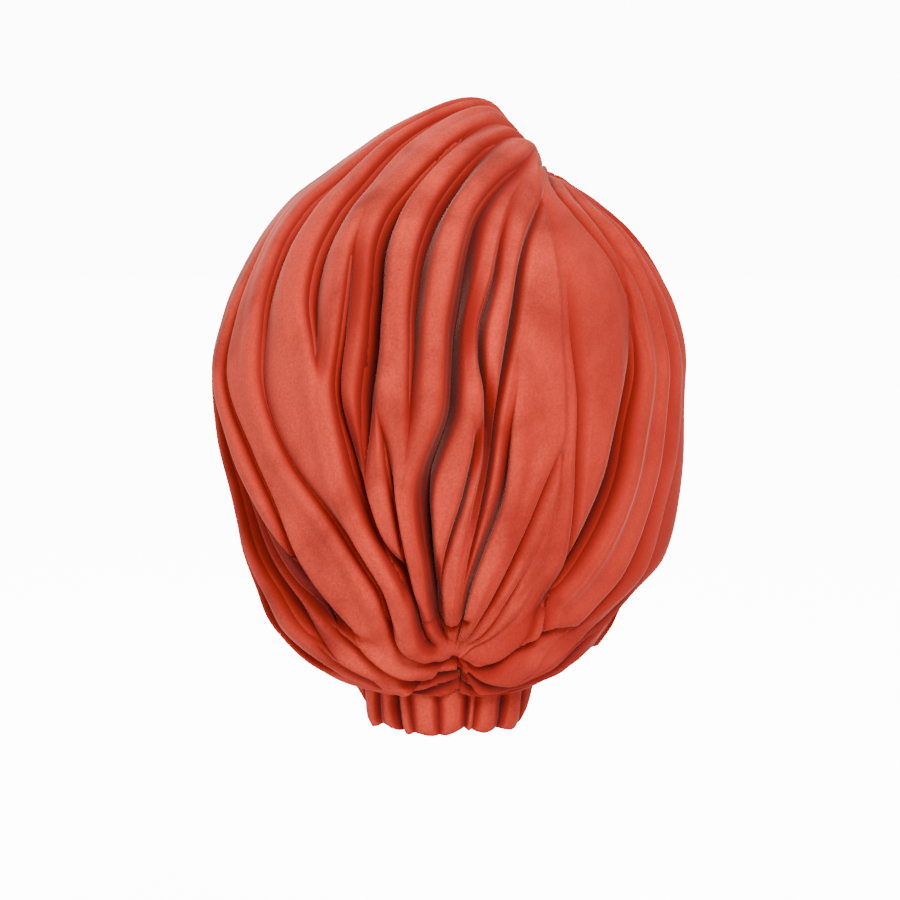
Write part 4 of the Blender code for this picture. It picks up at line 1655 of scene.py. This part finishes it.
@dataclass
class Studio:
    """Pale floor, soft lights and the camera at the photograph's angle, in metres.

    around lights the hat from all sides, and seen is the brightness of the
    backdrop in the picture.
    """

    aim: tuple = (0.0, 0.020, 0.050)
    distance: float = 1.5
    elevation: float = 7.0
    lens: float = 133.3
    sensor: float = 36.0
    lamps: tuple = LAMPS
    floor_z: float = -0.30
    paper: tuple = (0.95, 0.95, 0.95, 1.0)
    paper_roughness: float = 0.9
    half: float = 6.0
    around: float = 0.85
    seen: float = 12.0

    def build(self) -> None:
        """Add the floor, the lights and the camera."""
        mesh = bpy.data.meshes.new("floor")
        half = self.half
        corners = [(-half, -half, self.floor_z), (half, -half, self.floor_z),
                   (half, half, self.floor_z), (-half, half, self.floor_z)]
        mesh.from_pydata(corners, [], [(0, 1, 2, 3)])
        floor = bpy.data.objects.new("floor", mesh)
        bpy.context.collection.objects.link(floor)
        paper = bpy.data.materials.new("floor_paper")
        paper.use_nodes = True
        shader = paper.node_tree.nodes["Principled BSDF"]
        shader.inputs["Base Color"].default_value = self.paper
        shader.inputs["Roughness"].default_value = self.paper_roughness
        shader.inputs["Emission Color"].default_value = (1.0, 1.0, 1.0, 1.0)
        self.only_seen(paper.node_tree, 0.0, self.seen, shader.inputs["Emission Strength"])
        mesh.materials.append(paper)
        for lamp in self.lamps:
            self.light(lamp)
        world = bpy.data.worlds.new("soft_white")
        world.use_nodes = True
        sky = world.node_tree.nodes["Background"]
        sky.inputs["Color"].default_value = (1.0, 1.0, 1.0, 1.0)
        self.only_seen(world.node_tree, self.around, self.seen, sky.inputs["Strength"])
        bpy.context.scene.world = world
        self.camera()

    def only_seen(self, tree: bpy.types.NodeTree, lit: float, seen: float,
                  socket: bpy.types.NodeSocket) -> None:
        """Give a strength one value for lighting and one for what the camera sees.

        Args:
            tree: node tree that holds the socket.
            lit: strength for light that falls on the hat.
            seen: strength of the backdrop in the picture.
            socket: strength socket.
        """
        path = tree.nodes.new("ShaderNodeLightPath")
        ramp = range_node(tree, path.outputs["Is Camera Ray"], (0.0, 1.0), (lit, seen))
        tree.links.new(ramp.outputs["Result"], socket)

    def light(self, lamp: Lamp) -> None:
        """Add one soft area light aimed at the hat.

        Args:
            lamp: the light's name, place, size and power.
        """
        data = bpy.data.lights.new(lamp.name, "AREA")
        data.size = lamp.size
        data.energy = lamp.power
        light = bpy.data.objects.new(lamp.name, data)
        bpy.context.collection.objects.link(light)
        light.location = lamp.place
        way = Vector(self.aim) - Vector(lamp.place)
        light.rotation_euler = way.to_track_quat("-Z", "Y").to_euler()

    def camera(self) -> None:
        """Add the camera behind the hat, as in the photograph."""
        data = bpy.data.cameras.new("camera")
        data.lens = self.lens
        data.sensor_width = self.sensor
        eye = bpy.data.objects.new("camera", data)
        bpy.context.collection.objects.link(eye)
        lift = math.radians(self.elevation)
        aim = Vector(self.aim)
        eye.location = aim + Vector((0.0, math.cos(lift), math.sin(lift))) * self.distance
        eye.rotation_euler = (aim - eye.location).to_track_quat("-Z", "Y").to_euler()
        bpy.context.scene.camera = eye


def main() -> None:
    """Build every piece in order and report it."""
    logging.basicConfig(level=logging.INFO, format="%(name)s: %(message)s")
    poles = Poles()
    form = StuffedForm(poles)
    rims = {side: Rim(form, side) for side in Side}
    nape = NapeZone(poles)
    left_shape = WrapShape(form, rims[Side.LEFT], LEFT_FOLDS, nape, LEFT_HEMS)
    right_shape = WrapShape(form, rims[Side.RIGHT], RIGHT_FOLDS, nape)
    ear = rims[Side.LEFT].ear_sweep
    left = Wrap("left_wrap_cloth", "left_wrap", Side.LEFT, left_shape, left_shape,
                columns=351, front_columns=60, ear_sweep=ear,
                flat=(0.40, 0.36), cut_area=0.135)
    right = Wrap("right_wrap_cloth", "right_wrap", Side.RIGHT, right_shape, left_shape,
                 columns=281, front_columns=60, ear_sweep=ear,
                 flat=(0.22, 0.36), cut_area=0.0715, lay_shade=0.14)
    band = EdgeBand("edge_band_cloth", "edge_band", (rims[Side.LEFT], rims[Side.RIGHT]), poles,
                    flat=(0.030, 0.56), cut_area=0.011)
    finishes = {
        "left_wrap": PileCloth("left_wrap_pile"),
        "right_wrap": PileCloth("right_wrap_pile"),
        "edge_band": PileCloth("edge_band_pile"),
    }
    for item in (left, right, band):
        piece = item.build()
        item.dress(piece, finishes[item.node].build())
        LOG.info("%s: %d faces", piece.name, len(piece.data.polygons))
    Studio().build()
    LOG.info("studio built")


if __name__ == "__main__":
    main()
